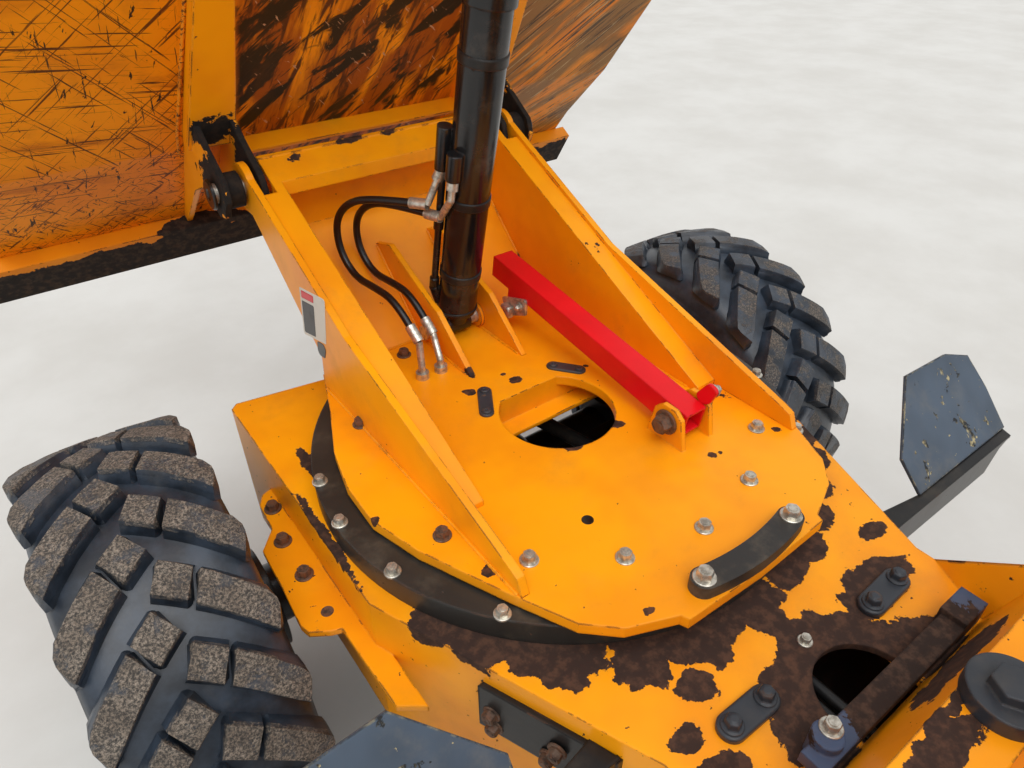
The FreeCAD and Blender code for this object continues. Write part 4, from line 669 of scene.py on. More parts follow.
class Workpiece:
    """A mesh in the making, in the drawing's millimetres."""

    def __init__(self, name: str) -> None:
        """Start an empty mesh.

        Args:
            name: Name of the piece that it becomes.
        """
        self.name = name
        self.bm = bmesh.new()
        self.dust = self.bm.verts.layers.float.new("dust")

    def skin(self, rings: Sequence[Sequence[Vector]], closed: bool = True, capped: bool = True,
             dust: Optional[Sequence[Sequence[float]]] = None) -> None:
        """Skin through rings of equal point counts.

        Args:
            rings: Points of each ring, in order.
            closed: Whether each ring closes on itself.
            capped: Whether the first and last rings are filled.
            dust: Dust on each point, where it differs from none.
        """
        loops = []
        for i, ring in enumerate(rings):
            loop = [self.bm.verts.new(p) for p in ring]
            if dust is not None:
                for vert, value in zip(loop, dust[i]):
                    vert[self.dust] = value
            loops.append(loop)
        count = len(loops[0])
        for below, above in zip(loops, loops[1:]):
            for i in range(count if closed else count - 1):
                j = (i + 1) % count
                self.bm.faces.new((below[i], below[j], above[j], above[i]))
        if capped and closed:
            self.bm.faces.new(loops[0][::-1])
            self.bm.faces.new(loops[-1])

    def turned(self, start: Point, axis: Point, profile: Sequence[Point], segments: int = 20) -> None:
        """Lathe work about an axis.

        Args:
            start: Where the distances along the axis are measured from.
            axis: Direction of the axis.
            profile: Distance along the axis and radius of each ring.
            segments: Facets round the axis.
        """
        way = Vector(axis).normalized()
        side = way.orthogonal().normalized()
        other = way.cross(side)
        angles = [2 * math.pi * i / segments for i in range(segments)]
        self.skin([[Vector(start) + way * along + (side * math.cos(a) + other * math.sin(a)) * radius
                    for a in angles] for along, radius in profile])

    def pipe(self, points: Sequence[Point], radius: float, segments: int = 12, ripple: float = 0.0) -> None:
        """Round pipe or weld bead that follows points.

        Args:
            points: Points of the middle line.
            radius: Radius of the pipe.
            segments: Facets round it.
            ripple: How far every other ring differs, as a share of the radius.
        """
        rings, side = [], None
        path = [Vector(p) for p in points]
        for i, point in enumerate(path):
            way = (path[min(i + 1, len(path) - 1)] - path[max(i - 1, 0)]).normalized()
            side = (way.orthogonal() if side is None else side - way * side.dot(way)).normalized()
            other = way.cross(side)
            reach = radius * (1.0 + (ripple if i % 2 else -ripple))
            rings.append([point + (side * math.cos(a) + other * math.sin(a)) * reach
                          for a in (2 * math.pi * k / segments for k in range(segments))])
        self.skin(rings)

    def weld(self, points: Sequence[Point], radius: float = 3.5, pitch: float = 5.0) -> None:
        """Weld bead laid along a line, with its ripples.

        Args:
            points: Corners of the line.
            radius: Radius of the bead.
            pitch: Length of one ripple.
        """
        for start, end in zip(points, points[1:]):
            steps = max(2, int(math.dist(start, end) / pitch))
            run = [Vector(start).lerp(Vector(end), i / steps) for i in range(steps + 1)]
            self.pipe(run, radius, 8, 0.14)

    def plate(self, plane: Plane, corners: Sequence[Point], radius: float, thickness: float,
              chamfer: float = 1.2) -> None:
        """Flat plate with round corners and a chamfered top edge.

        Args:
            plane: Where it lies; its thickness rises from the plane.
            corners: Corners of its outline, anticlockwise.
            radius: Radius of the corners.
            thickness: Thickness of the plate.
            chamfer: Width of the chamfer.
        """
        layers = ((0.0, 0.0), (thickness - chamfer, 0.0), (thickness, chamfer))
        self.skin([[plane.point(u, v, h) for u, v in rounded(corners, radius, inset)] for h, inset in layers])

    def strap(self, plane: Plane, first: Point, last: Point, half: float, thickness: float) -> None:
        """Flat bar with round ends from one bolt's place to another's.

        Args:
            plane: Where it lies.
            first: Place of the first bolt on the plane.
            last: Place of the last bolt.
            half: Half the bar's width, which is also its reach past each bolt.
            thickness: Thickness of the bar.
        """
        way = (Vector(last) - Vector(first)).normalized()
        side = Vector((-way.y, way.x))
        ends = (Vector(first) - way * half, Vector(last) + way * half)
        corners = [ends[0] - side * half, ends[1] - side * half, ends[1] + side * half, ends[0] + side * half]
        self.plate(plane, [tuple(c) for c in corners], half * 0.98, thickness, 2.0)

    def block(self, low: Point, high: Point, chamfer: float = 2.0) -> None:
        """Block between two corners with chamfered edges.

        Args:
            low: Lowest corner.
            high: Highest corner.
            chamfer: Width of the chamfers.
        """
        corners = ((low[0], low[1]), (high[0], low[1]), (high[0], high[1]), (low[0], high[1]))
        height = high[2] - low[2]
        layers = ((0.0, chamfer), (chamfer, 0.0), (height - chamfer, 0.0), (height, chamfer))
        plane = Plane((0.0, 0.0, low[2]))
        self.skin([[plane.point(u, v, h) for u, v in rounded(corners, chamfer * 1.1, inset, 1)]
                   for h, inset in layers])

    def hexagon(self, start: Point, axis: Point, flats: float, height: float, turn: float = 0.4) -> None:
        """Hexagon nut or head with chamfered corners.

        Args:
            start: Middle of its seat.
            axis: Direction that it stands up in.
            flats: Width across its flats.
            height: Height of the head.
            turn: Angle at which it was left by the spanner.
        """
        way = Vector(axis).normalized()
        side = Matrix.Rotation(turn, 3, way) @ way.orthogonal().normalized()
        other = way.cross(side)
        rings = []
        for along, ease in ((0.0, 0.0), (height * 0.76, 0.0), (height, 1.0)):
            ring = []
            for i in range(12):
                reach = flats / 2 * (1 - 0.07 * ease)
                if i % 2 == 0:
                    reach = flats / math.sqrt(3) * (1 - 0.14 * ease)
                angle = math.pi * i / 6
                ring.append(Vector(start) + way * along
                            + (side * math.cos(angle) + other * math.sin(angle)) * reach)
            rings.append(ring)
        self.skin(rings)

    def bolt(self, start: Point, axis: Point = (0, 0, 1), flats: float = 19.0, turn: float = 0.4) -> None:
        """Hexagon head on a plain washer, with its rolled crown.

        Args:
            start: Where the bolt's axis meets the plate.
            axis: Direction that the head stands up in.
            flats: Width across the head's flats.
            turn: Angle at which it was left by the spanner.
        """
        way = Vector(axis).normalized()
        washer = flats * 0.78
        self.turned(start, way, ((-1.0, washer), (2.0, washer), (2.8, washer - 1.0)), 24)
        top = Vector(start) + way * 2.6
        self.hexagon(top, way, flats, flats * 0.6, turn)
        crown = ((0.0, flats * 0.34), (1.4, flats * 0.32), (1.6, flats * 0.2))
        self.turned(top + way * flats * 0.58, way, crown, 14)

    def done(self, finish: Finish, body: Body | str, slot: Optional[Slot], replaced: Sequence[str] = (),
             smooth: float = 38.0) -> bpy.types.Object:
        """Turn the mesh to the row frame, dress it and let it ride.

        Args:
            finish: The piece's finish.
            body: The moving body that carries it.
            slot: The record's material slot, if it has one for this; not used.
            replaced: Solids that it stands for.
            smooth: Edges blunter than this many degrees are shaded smooth.

        Returns:
            The finished object.
        """
        for vert in self.bm.verts:
            vert.co = row(vert.co)
        bmesh.ops.recalc_face_normals(self.bm, faces=self.bm.faces)
        mesh = bpy.data.meshes.new(self.name)
        self.bm.to_mesh(mesh)
        self.bm.free()
        mesh.polygons.foreach_set("use_smooth", [True] * len(mesh.polygons))
        mesh.set_sharp_from_angle(angle=math.radians(smooth))
        piece = bpy.data.objects.new(self.name, mesh)
        bpy.context.scene.collection.objects.link(piece)
        mesh.materials.append(finish.material())
        carrier = body.value if isinstance(body, Body) else body
        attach(piece, carrier)
        if replaced:
            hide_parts(*replaced)
        log.info("%s: %d faces on %s", self.name, len(mesh.polygons), carrier)
        return piece


def around_ring(radius: float, first: int, last: int, step: int, height: float, size: Point,
                depth: float) -> tuple[Patch, ...]:
    """Patches of bare steel along an arc about the turntable's centre.

    Args:
        radius: Radius of the arc.
        first: Angle of the first patch, in degrees from the machine's left towards its back.
        last: Angle that the patches end before.
        step: Degrees between patches.
        height: Height of the deck.
        size: Half lengths of each patch.
        depth: How bare each patch is.

    Returns:
        The patches.
    """
    angles = (math.radians(a) for a in range(first, last, step))
    return tuple(Patch((radius * math.cos(a), radius * math.sin(a), height), tuple(size), depth)
                 for a in angles)


PLATE_Z = 809.5
DECK_Z = 741.0
# Half width of the skip's middle panel, between its ribs, and the outer panels' ends
MIDDLE_PANEL = 268.0
SIDE_PANEL = (300.0, 900.0)
# Ways that stones took over the skip's underside as it slewed and tipped
ALONG_SLOPE = (0.0, 0.53, 0.848)
RISING = (-0.72, 0.37, 0.59)
FALLING = (0.66, 0.4, 0.64)
STEEP = (-0.25, 0.51, 0.82)
LEVEL = (0.99, 0.05, 0.1)

# Alkyd enamel, sprayed and air-dried: a warm yellow film that is satin with dust
YELLOW_PAINT = ChippedEnamel("yellow_alkyd_enamel")
# The same film where gravel grinds under the turning plate and where boots and tools land:
# it came off in large ragged flakes down to brown steel
DECK_PAINT = ChippedEnamel(
    "yellow_enamel_of_the_deck", chip_mm=70.0, chips=0.68, primer="#35241D", rust="#503628", specks=0.69,
    patches=around_ring(463.0, 28, 162, 9, DECK_Z, (46.0, 46.0, 26.0), 0.5)
    + around_ring(490.0, 52, 100, 12, DECK_Z, (44.0, 44.0, 26.0), 0.4)
    + tuple(Patch(*row_of) for row_of in (
        ((14.0, 606.0, 741.0), (112.0, 86.0, 24.0), 0.5), ((112.0, 650.0, 741.0), (58.0, 76.0, 24.0), 0.5),
        ((-120.0, 660.0, 741.0), (70.0, 60.0, 24.0), 0.45),
        ((-170.0, 560.0, 741.0), (84.0, 50.0, 24.0), 0.42),
        ((176.0, 512.0, 741.0), (34.0, 26.0, 20.0), 0.42), ((-262.0, 500.0, 741.0), (38.0, 14.0, 20.0), 0.4),
        ((240.0, 552.0, 741.0), (26.0, 20.0, 20.0), 0.4), ((150.0, 690.0, 741.0), (60.0, 24.0, 24.0), 0.4),
        ((250.0, 612.0, 735.0), (56.0, 26.0, 30.0), 0.36), ((-70.0, 712.0, 806.0), (124.0, 34.0, 58.0), 0.42),
        ((128.0, 766.0, 884.0), (96.0, 22.0, 20.0), 0.38), ((40.0, 742.0, 884.0), (60.0, 10.0, 16.0), 0.34),
        ((397.0, 249.0, 741.0), (18.0, 40.0, 20.0), 0.4), ((408.0, -208.0, 741.0), (16.0, 62.0, 26.0), 0.42),
        ((418.0, -110.0, 741.0), (9.0, 34.0, 16.0), 0.4),
        ((463.0, -20.0, 741.0), (12.0, 220.0, 12.0), 0.24))))
# The same film on the turning plate: nearly whole, with single chips
PLATE_PAINT = ChippedEnamel(
    "yellow_enamel_of_the_turntable", chips=0.7, specks=0.72, primer="#30211A", ragged_mm=22.0,
    patches=tuple(Patch((x, y, PLATE_Z), (r, r * 0.8, 14.0), 0.5) for x, y, r in (
        (317, 232, 13), (185, 419, 9), (407, 45, 11), (-58, 97, 17), (46, 101, 17), (4, -126, 13),
        (11, -154, 7), (99, -144, 12), (-142, -78, 8), (-132, 259, 10), (-150, 262, 7), (-279, 279, 9)))
    + (Patch((64.0, -194.0, 815.0), (8.0, 22.0, 16.0), 0.5),))
# The same film on the turret, rubbed through on the cross beam's upper edge
TURRET_PAINT = ChippedEnamel(
    "yellow_enamel_of_the_turret", chips=0.7, specks=0.745, edge_wear=0.17, edge_mm=4.0, dirt_share=0.2,
    patches=tuple(Patch(*row_of) for row_of in (
        ((70.0, -604.0, 1176.0), (34.0, 12.0, 12.0), 0.4), ((-14.0, -604.0, 1176.0), (26.0, 10.0, 12.0), 0.4),
        ((205.0, -590.0, 1160.0), (20.0, 14.0, 14.0), 0.4), ((64.0, -194.0, 812.0), (10.0, 20.0, 12.0), 0.5),
        ((-150.0, -300.0, 815.0), (110.0, 90.0, 40.0), 0.08))))
# Enamel under the skip: rust and dark spoil in the middle panel, pale long scrapes on the right one,
# thin crossing scratches on the left one
SKIP_PAINT = ScrapedEnamel(
    "yellow_enamel_of_the_skip", coat="#FA9A08", faded="#E8860A", chips=0.71, chip_mm=80.0, dirt="#7A4A20",
    dirt_share=0.35, gloss=0.42, specks=0.74,
    patches=(Patch((470.0, -500.0, 1600.0), (40.0, 60.0, 120.0), 0.16),
             Patch((560.0, -960.0, 905.0), (300.0, 20.0, 20.0), 0.2)),
    scrapes=tuple(Scrape(-MIDDLE_PANEL, MIDDLE_PANEL, *stroke) for stroke in (
        (STEEP, (260.0, 60.0), 0.36, "#A8540C", 0.2), (STEEP, (110.0, 20.0), 0.5, "#5E3212", 0.1),
        (RISING, (170.0, 46.0), 0.52, "#2E2413", 0.06), (RISING, (70.0, 6.0), 0.6, "#3A2A18"),
        (FALLING, (34.0, 9.0), 0.64, "#C89A72")))
    + tuple(Scrape(-SIDE_PANEL[1], -SIDE_PANEL[0], *stroke) for stroke in (
        (RISING, (420.0, 70.0), 0.4, "#9A6E34", 0.14), (RISING, (220.0, 9.0), 0.56, "#5A4224"),
        (RISING, (180.0, 6.0), 0.6, "#C8A872")))
    + tuple(Scrape(*SIDE_PANEL, *stroke) for stroke in (
        (LEVEL, (300.0, 80.0), 0.5, "#C86E0A", 0.2), (RISING, (240.0, 5.0), 0.59, "#6E3A12", 0.03),
        (FALLING, (200.0, 5.0), 0.6, "#4E2C12", 0.03), (LEVEL, (260.0, 4.5), 0.6, "#5E3414", 0.03),
        (ALONG_SLOPE, (120.0, 7.0), 0.63, "#33241A", 0.03), (STEEP, (34.0, 12.0), 0.66, "#2A1F18", 0.02))))
# Enamel under old grease round the tipping pivots: black and ragged
LUG_PAINT = ChippedEnamel(
    "yellow_enamel_of_the_skip_ribs", primer="#1C1A19", rust="#2C241D", chips=0.7, edge_wear=0.18,
    patches=tuple(Patch((x, y, z), (70.0, a, b), d) for x in (320, -320) for y, z, a, b, d in (
        (-600, 1140, 84, 96, 0.6), (-690, 1070, 60, 66, 0.34), (-640, 1210, 40, 60, 0.3)))
    + (Patch((60.0, -662.0, 1240.0), (11.0, 20.0, 20.0), 0.5),))
# Electroplated zinc: pale grey and soft in its gloss, and brown where it rusted through
ZINC = PlatedSteel("zinc_plated_steel")
BROWNED_ZINC = PlatedSteel("browned_zinc_steel", bright="#6B5546", dull="#43332A", rust_from=0.45,
                           metallic=0.3, gloss=0.5)
# Moulded natural rubber, dry and sandy, and the front right tyre's, washed darker
TYRE_RUBBER = TreadRubber("natural_rubber_tread")
WET_TYRE_RUBBER = TreadRubber("natural_rubber_tread_washed", cover=0.62, sand="#7E776E")
# Nitrile rubber cured under wrapped cloth: black with a soft highlight along the hose
HOSE_RUBBER = MouldedRubber("wrapped_nitrile_rubber", colour="#101012", dust_share=0.08, gloss=0.34)
# Cast polyurethane of the bumper pad: dusty, with coarse wear marks
PAD_RUBBER = MouldedRubber("moulded_polyurethane", colour="#262422", dust="#6E6250", dust_share=0.7,
                           gloss=0.5, pore_mm=9.0)
# Injection-moulded ABS: black and satin, a little grey with dust
BLACK_PLASTIC = MouldedRubber("moulded_abs", colour="#1B1B1C", dust_share=0.2, gloss=0.42, pore_mm=2.0)
# Black chassis enamel: satin, with brown bare edges
BLACK_PAINT = ChippedEnamel(
    "black_machine_enamel", coat="#19191A", faded="#252423", primer="#4A3A30", rust="#6A452E", chips=0.71,
    dirt="#6A5E4E", dirt_share=0.3, gloss=0.3, specks=0.75, edge_wear=0.12)
# The ram's black enamel, wiped by rain and oil: glossy, with dust in clouds
RAM_PAINT = ChippedEnamel(
    "black_enamel_of_the_ram", coat="#121214", faded="#1A1A1B", primer="#2E2A26", rust="#3E342B", chips=0.72,
    dirt="#6E655A", dirt_share=0.4, gloss=0.16, specks=0.76, edge_wear=0.1, mirror=0.5)
# Blue-black enamel of straps and clamps: dull under grit
STRAP_PAINT = ChippedEnamel(
    "blue_black_enamel", coat="#23262B", faded="#32373F", primer="#4A3C33", rust="#5E4636", chips=0.7,
    dirt="#5B5348", dirt_share=0.45, gloss=0.34, edge_wear=0.1, mirror=0.5)
# Signal red enamel of the safety prop: bright and nearly whole
RED_PAINT = ChippedEnamel(
    "red_alkyd_enamel", coat="#EE1420", faded="#D8101A", primer="#4A1A18", rust="#5A2A22", chips=0.77,
    edge_wear=0.1, dirt="#8A2A20", dirt_share=0.2, gloss=0.3, specks=0.8)
# Blue-grey enamel of the mudguards, spotted with an old cream coat
BLUE_GREY_PAINT = ChippedEnamel(
    "blue_grey_enamel", coat="#4C5A6A", faded="#3C4753", primer="#2A2C2E", rust="#B5AA84", chips=0.62,
    chip_mm=42.0, edge_wear=0.22, dirt="#8A8270", dirt_share=0.4, gloss=0.42, specks=0.68,
    patches=(Patch((640.0, 420.0, 790.0), (120.0, 60.0, 60.0), 0.06),))
# Grey wheel enamel under dry mud
RIM_PAINT = ChippedEnamel(
    "rim_enamel", coat="#4A5868", faded="#3A4658", primer="#2A2A2C", rust="#5A3826", chips=0.68,
    dirt="#8A7E6A", dirt_share=0.8, gloss=0.5)
# Black enamel of the slewing ring: dusty, rubbed brown
RING_PAINT = ChippedEnamel(
    "black_ring_enamel", coat="#252422", faded="#33302C", primer="#3A2C24", rust="#5A4030", chips=0.68,
    dirt="#6E6250", dirt_share=0.6, gloss=0.4, specks=0.7, mirror=0.5)
# The lock bar's blue-black enamel, worn to brown steel but for its lower end
LOCK_BAR = ChippedEnamel(
    "blue_black_enamel_worn_to_steel", coat="#465572", faded="#36435C", primer="#2E211B", rust="#4C372B",
    chips=0.62, gloss=0.4, dirt_share=0.3, edge_wear=0.05,
    patches=(Patch((-60.0, 672.0, 765.0), (150.0, 60.0, 40.0), 0.5),))
# The lip's enamel, scraped to brown steel by every load but for a strip at its top
LIP_STEEL = ChippedEnamel(
    "yellow_enamel_of_the_lip", coat="#FA9A08", faded="#E8860A", primer="#241F1C", rust="#43352A",
    chips=0.68, gloss=0.5, ragged_mm=26.0,
    patches=(Patch((0.0, -912.0, 900.0), (1800.0, 80.0, 56.0), 0.6),
             Patch((330.0, -880.0, 965.0), (130.0, 50.0, 30.0), 0.4)))
# Grey iron, cast in sand: rough and dark, with thin rust
CAST_IRON = BareSteel("sand_cast_iron", scale="#3A3A3A", rust="#5B4536", cover=0.35, metallic=0.1)
# Sheet steel that never dries: nearly black
MUDDY_STEEL = BareSteel("muddy_sheet_steel", scale="#1D1A18", rust="#352A22", cover=0.55, metallic=0.05)
# Chromed bar, ground and polished: a mirror under thin oil
BRIGHT_BAR = ChromedBar("hard_chromed_bar")
# PVC-coated cotton, embossed with a pebble grain
SEAT_VINYL = CoatedCloth("vinyl_coated_cloth")
# Moulded acrylic lenses: the prisms show as fine ribs
AMBER_LENS = MouldedLens("amber_acrylic", colour="#F08A0E", deep="#8A4200")
RED_LENS = MouldedLens("red_acrylic")
CLEAR_LENS = MouldedLens("clear_acrylic", colour="#DADCDD", deep="#8A8E92")
# Cast vinyl film, faded outdoors, and its dark printed panel
STICKER = MouldedRubber("cast_vinyl_film", colour="#D8D2C4", dust="#8A8070", dust_share=0.4, gloss=0.35)
STICKER_DARK = MouldedRubber("printed_vinyl_film", colour="#2E2B29", dust="#6A6258", dust_share=0.35,
                             gloss=0.4)
# Lithium grease full of grit: black with a wet highlight, on the skip's pivots; the same black is the painted
# shade of the drain hole and the turret's slot
GREASE_AND_HOLE_SHADE = MouldedRubber("dirty_grease_and_painted_hole_shade", colour="#141210", dust="#332A22", dust_share=0.5, gloss=0.3,
                       pore_mm=6.0)

# Finish of each solid that keeps its own shape
FINISHES: dict[str, Finish] = {
    **dict.fromkeys(("rear_frame", "platform", "console", "seat_base", "bonnet", "engine_bulkhead",
                     "rear_mudguards", "side_tanks"), YELLOW_PAINT),
    **dict.fromkeys(("front_axle", "rear_axle", "rops_lower", "rops_upper", "rear_bumper",
                     "steer_cylinder_barrel", "front_drive_shaft", "rear_drive_shaft", "steps",
                     "mudguard_arms", "radiator_grille", "exhaust", "transit_pipes", "slew_cylinder"),
                    BLACK_PAINT),
    **dict.fromkeys(("front_left_rim", "front_right_rim", "rear_left_rim", "rear_right_rim"), RIM_PAINT),
    "front_frame": DECK_PAINT, "turntable_plate": PLATE_PAINT, "turret_frame": TURRET_PAINT,
    "skip_body": SKIP_PAINT, "skip_hinge_frame": LUG_PAINT, "slew_ring": RING_PAINT,
    "front_mudguards": BLUE_GREY_PAINT, "articulation_lock_bar": LOCK_BAR, "articulation_pin": STRAP_PAINT,
    "skip_lip": LIP_STEEL, "tip_ram_barrel": RAM_PAINT, "tip_ram_rod": BRIGHT_BAR,
    "steer_cylinder_rod": BRIGHT_BAR, "engine": CAST_IRON,
    **dict.fromkeys(("bulkhead_fittings", "turret_pins", "skip_pins", "ram_elbows"), ZINC),
    "safety_prop": RED_PAINT, "bumper_pad": PAD_RUBBER,
    **dict.fromkeys(("steering_wheel", "steering_column", "levers_and_pedals"), BLACK_PLASTIC),
    **dict.fromkeys(("seat_cushion", "seat_back"), SEAT_VINYL),
    "beacon": AMBER_LENS, "rear_lamps": RED_LENS, "headlamps": CLEAR_LENS,
}


def dress_solids(nodes: dict[str, bpy.types.Object]) -> None:
    """Give each carried-over solid its finish.

    Args:
        nodes: The frame's solids by name.
    """
    for name, finish in FINISHES.items():
        nodes[name].data.materials.clear()
        nodes[name].data.materials.append(finish.material())
        log.info("%s: finished in %s", name, finish.name)


@dataclass(frozen=True)
class TractionTyre:
    """Traction tyre: casing, sidewall rings and two rows of chevron lugs, each cut by a slot."""

    name: str
    centre_y: float
    side: int
    outer: float = 422.5
    width: float = 290.0
    track: float = 715.0
    lug_height: float = 26.0
    lugs: int = 20
    bead: float = 195.0
    lug_width: float = 50.0
    crown_drop: float = 9.0
    nuts: int = 8
    nut_circle: float = 118.0
    disc: float = 20.0

    def casing(self, work: Workpiece) -> None:
        """Casing from bead to bead, turned about the axle.

        Args:
            work: The tyre in the making.
        """
        half = self.width / 2
        floor = self.outer - self.lug_height
        # Across from the tyre's middle, and down from the tread's floor or up from the bead
        crown = ((0, 0), (40, 1), (80, 3), (112, 8), (130, 18), (139, 36), (141.5, 60), (142, 64), (144, 68),
                 (144, 84), (141.5, 88), (140, 110), (137, 128), (137.5, 132), (134, 136), (128, 152))
        foot = ((121, 26), (119.5, 20), (116, 17), (111, 12), (108, 2), (104, 1))
        right = [(x, floor - down) for x, down in crown] + [(x, self.bead + up) for x, up in foot]
        profile = [(-x, r) for x, r in reversed(right)] + right[1:]
        profile = [(max(-half, min(half, x)), r) for x, r in profile]
        segments = 120
        rings = []
        for i in range(segments + 1):
            a = 2 * math.pi * i / segments
            rings.append([Vector((x, r * math.sin(a), r * math.cos(a))) for x, r in profile])
        work.skin(rings, closed=False, capped=False)

    def place(self, x: float, s: float, height: float) -> Vector:
        """Point over the casing.

        Args:
            x: Place across the tyre.
            s: Place along the circumference of the tread's floor.
            height: Height above the floor.

        Returns:
            The point, from the wheel's centre.
        """
        radius = self.outer - self.crown_drop * (x / (self.width / 2)) ** 2 - self.lug_height + height
        angle = s / (self.outer - self.lug_height)
        return Vector((x, radius * math.sin(angle), radius * math.cos(angle)))

    def section(self) -> list[Point]:
        """Cross-section of a lug, with two ledges down each flank.

        Returns:
            Place across the lug and height above the tread's floor of each point.
        """
        half, full = self.lug_width / 2, self.lug_height
        flank = ((9, -6.0), (7, 3.0), (5.5, 8.0), (5.0, 9.0), (2.4, 16.0), (1.6, 17.0), (0.2, full - 2.0),
                 (-1.6, full), (-14, full + 0.6))
        return [(-half - w, h) for w, h in flank] + [(half + w, h) for w, h in reversed(flank)]

    def block(self, work: Workpiece, hand: int, turn: float, start: float, end: float,
              seed: random.Random) -> None:
        """One block of a lug.

        Args:
            work: The tyre in the making.
            hand: 1 for the left row of lugs, -1 for the right one.
            turn: Where the lug starts along the circumference.
            start: Distance of the block's inner end from the tyre's middle.
            end: Distance of its outer end.
            seed: Source of the wear that makes the lugs differ.
        """
        full = self.lug_height
        stations = 7 if end - start > 50 else 4
        rings, dust = [], []
        worn = [seed.uniform(-0.7, 0.7) for _ in range(4)]
        for share in [-0.035] + [i / (stations - 1) for i in range(stations)] + [1.035]:
            toe = not 0.0 <= share <= 1.0
            along = start + (end - start) * min(max(share, 0.0), 1.0)
            lean = math.radians(50 - 16 * along / (self.width / 2))
            run = along * math.tan(math.radians(42)) - 9 * math.sin(math.pi * along / (self.width / 2))
            ring, grit = [], []
            for w, h in self.section():
                if toe:
                    h = -6.0 if h < full - 1.0 else full * 0.35
                shoulder = max(0.0, (along - 118) / 27)
                height = min(h, full) - (7 * shoulder ** 2 if h > 8 else 0.0)
                height += worn[int(share * 3) % 4] if h > 16 else 0.0
                x = along - w * math.sin(lean) * (0.55 if toe else 1.0) * 0.72
                x += (3.5 if share > 1 else -3.5 if share < 0 else 0.0)
                s = run + w * math.cos(lean) * 0.98 + w * (1 - math.cos(lean)) * 0.55
                ring.append(self.place(hand * min(x, self.width / 2 - 0.5), s + turn, height))
                grit.append(1.0 if h >= full - 0.1 and not toe else 0.55 if h > 16 and not toe else 0.1)
            rings.append(ring)
            dust.append(grit)
        work.skin(rings, dust=dust)

    def build(self) -> None:
        """The tyre and the wheel nuts, at the axle."""
        work = Workpiece(f"{self.name}_tread_tyre")
        self.casing(work)
        seed = random.Random(self.name)
        pitch = 2 * math.pi * (self.outer - self.lug_height) / self.lugs
        for i in range(self.lugs):
            for hand, offset in ((1, 0.0), (-1, 0.5)):
                turn = (i + offset) * pitch
                self.block(work, hand, turn, 4.0, 44.0, seed)
                self.block(work, hand, turn, 53.0, 141.0, seed)
        lift = Vector((self.side * self.track, self.centre_y, self.outer))
        for vert in work.bm.verts:
            vert.co += lift
        rubber = WET_TYRE_RUBBER if self.name == "front_right" else TYRE_RUBBER
        work.done(rubber, f"{self.name}_wheel", Slot.RUBBER, (f"{self.name}_tyre",), smooth=42)
        nuts = Workpiece(f"{self.name}_wheel_nuts")
        for i in range(self.nuts):
            a = 2 * math.pi * (i + 0.5) / self.nuts
            spot = lift + Vector((self.side * self.disc, self.nut_circle * math.sin(a),
                                  self.nut_circle * math.cos(a)))
            nuts.bolt(spot, (self.side, 0, 0), 24.0, a)
            nuts.turned(spot, (self.side, 0, 0), ((12.0, 8.0), (23.0, 8.0), (25.0, 6.5)), 14)
        nuts.done(BROWNED_ZINC, f"{self.name}_wheel", Slot.ZINC)


@dataclass(frozen=True)
class PressureHose:
    """A free hydraulic hose of the turret, with the length of its route."""

    name: str
    route: tuple[Point, ...]
    length: float
    diameter: float = 15.0

    def build(self) -> None:
        """NURBS hose along its route, with a bevel of its own radius."""
        curve = bpy.data.curves.new(self.name, "CURVE")
        curve.dimensions = "3D"
        spline = curve.splines.new("NURBS")
        spline.points.add(len(self.route) - 1)
        for point, place in zip(spline.points, self.route):
            point.co = (*row(place), 1.0)
        spline.order_u = 3
        spline.use_endpoint_u = True
        spline.resolution_u = 12
        curve.bevel_depth = self.diameter * MM / 2
        curve.bevel_resolution = 6
        curve.use_fill_caps = True
        curve.materials.append(HOSE_RUBBER.material())
        piece = bpy.data.objects.new(f"{self.name}_rubber", curve)
        bpy.context.scene.collection.objects.link(piece)
        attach(piece, Body.TURRET.value)
        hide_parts(self.name)
        log.info("%s: hose of %.1f mm", piece.name, self.length)


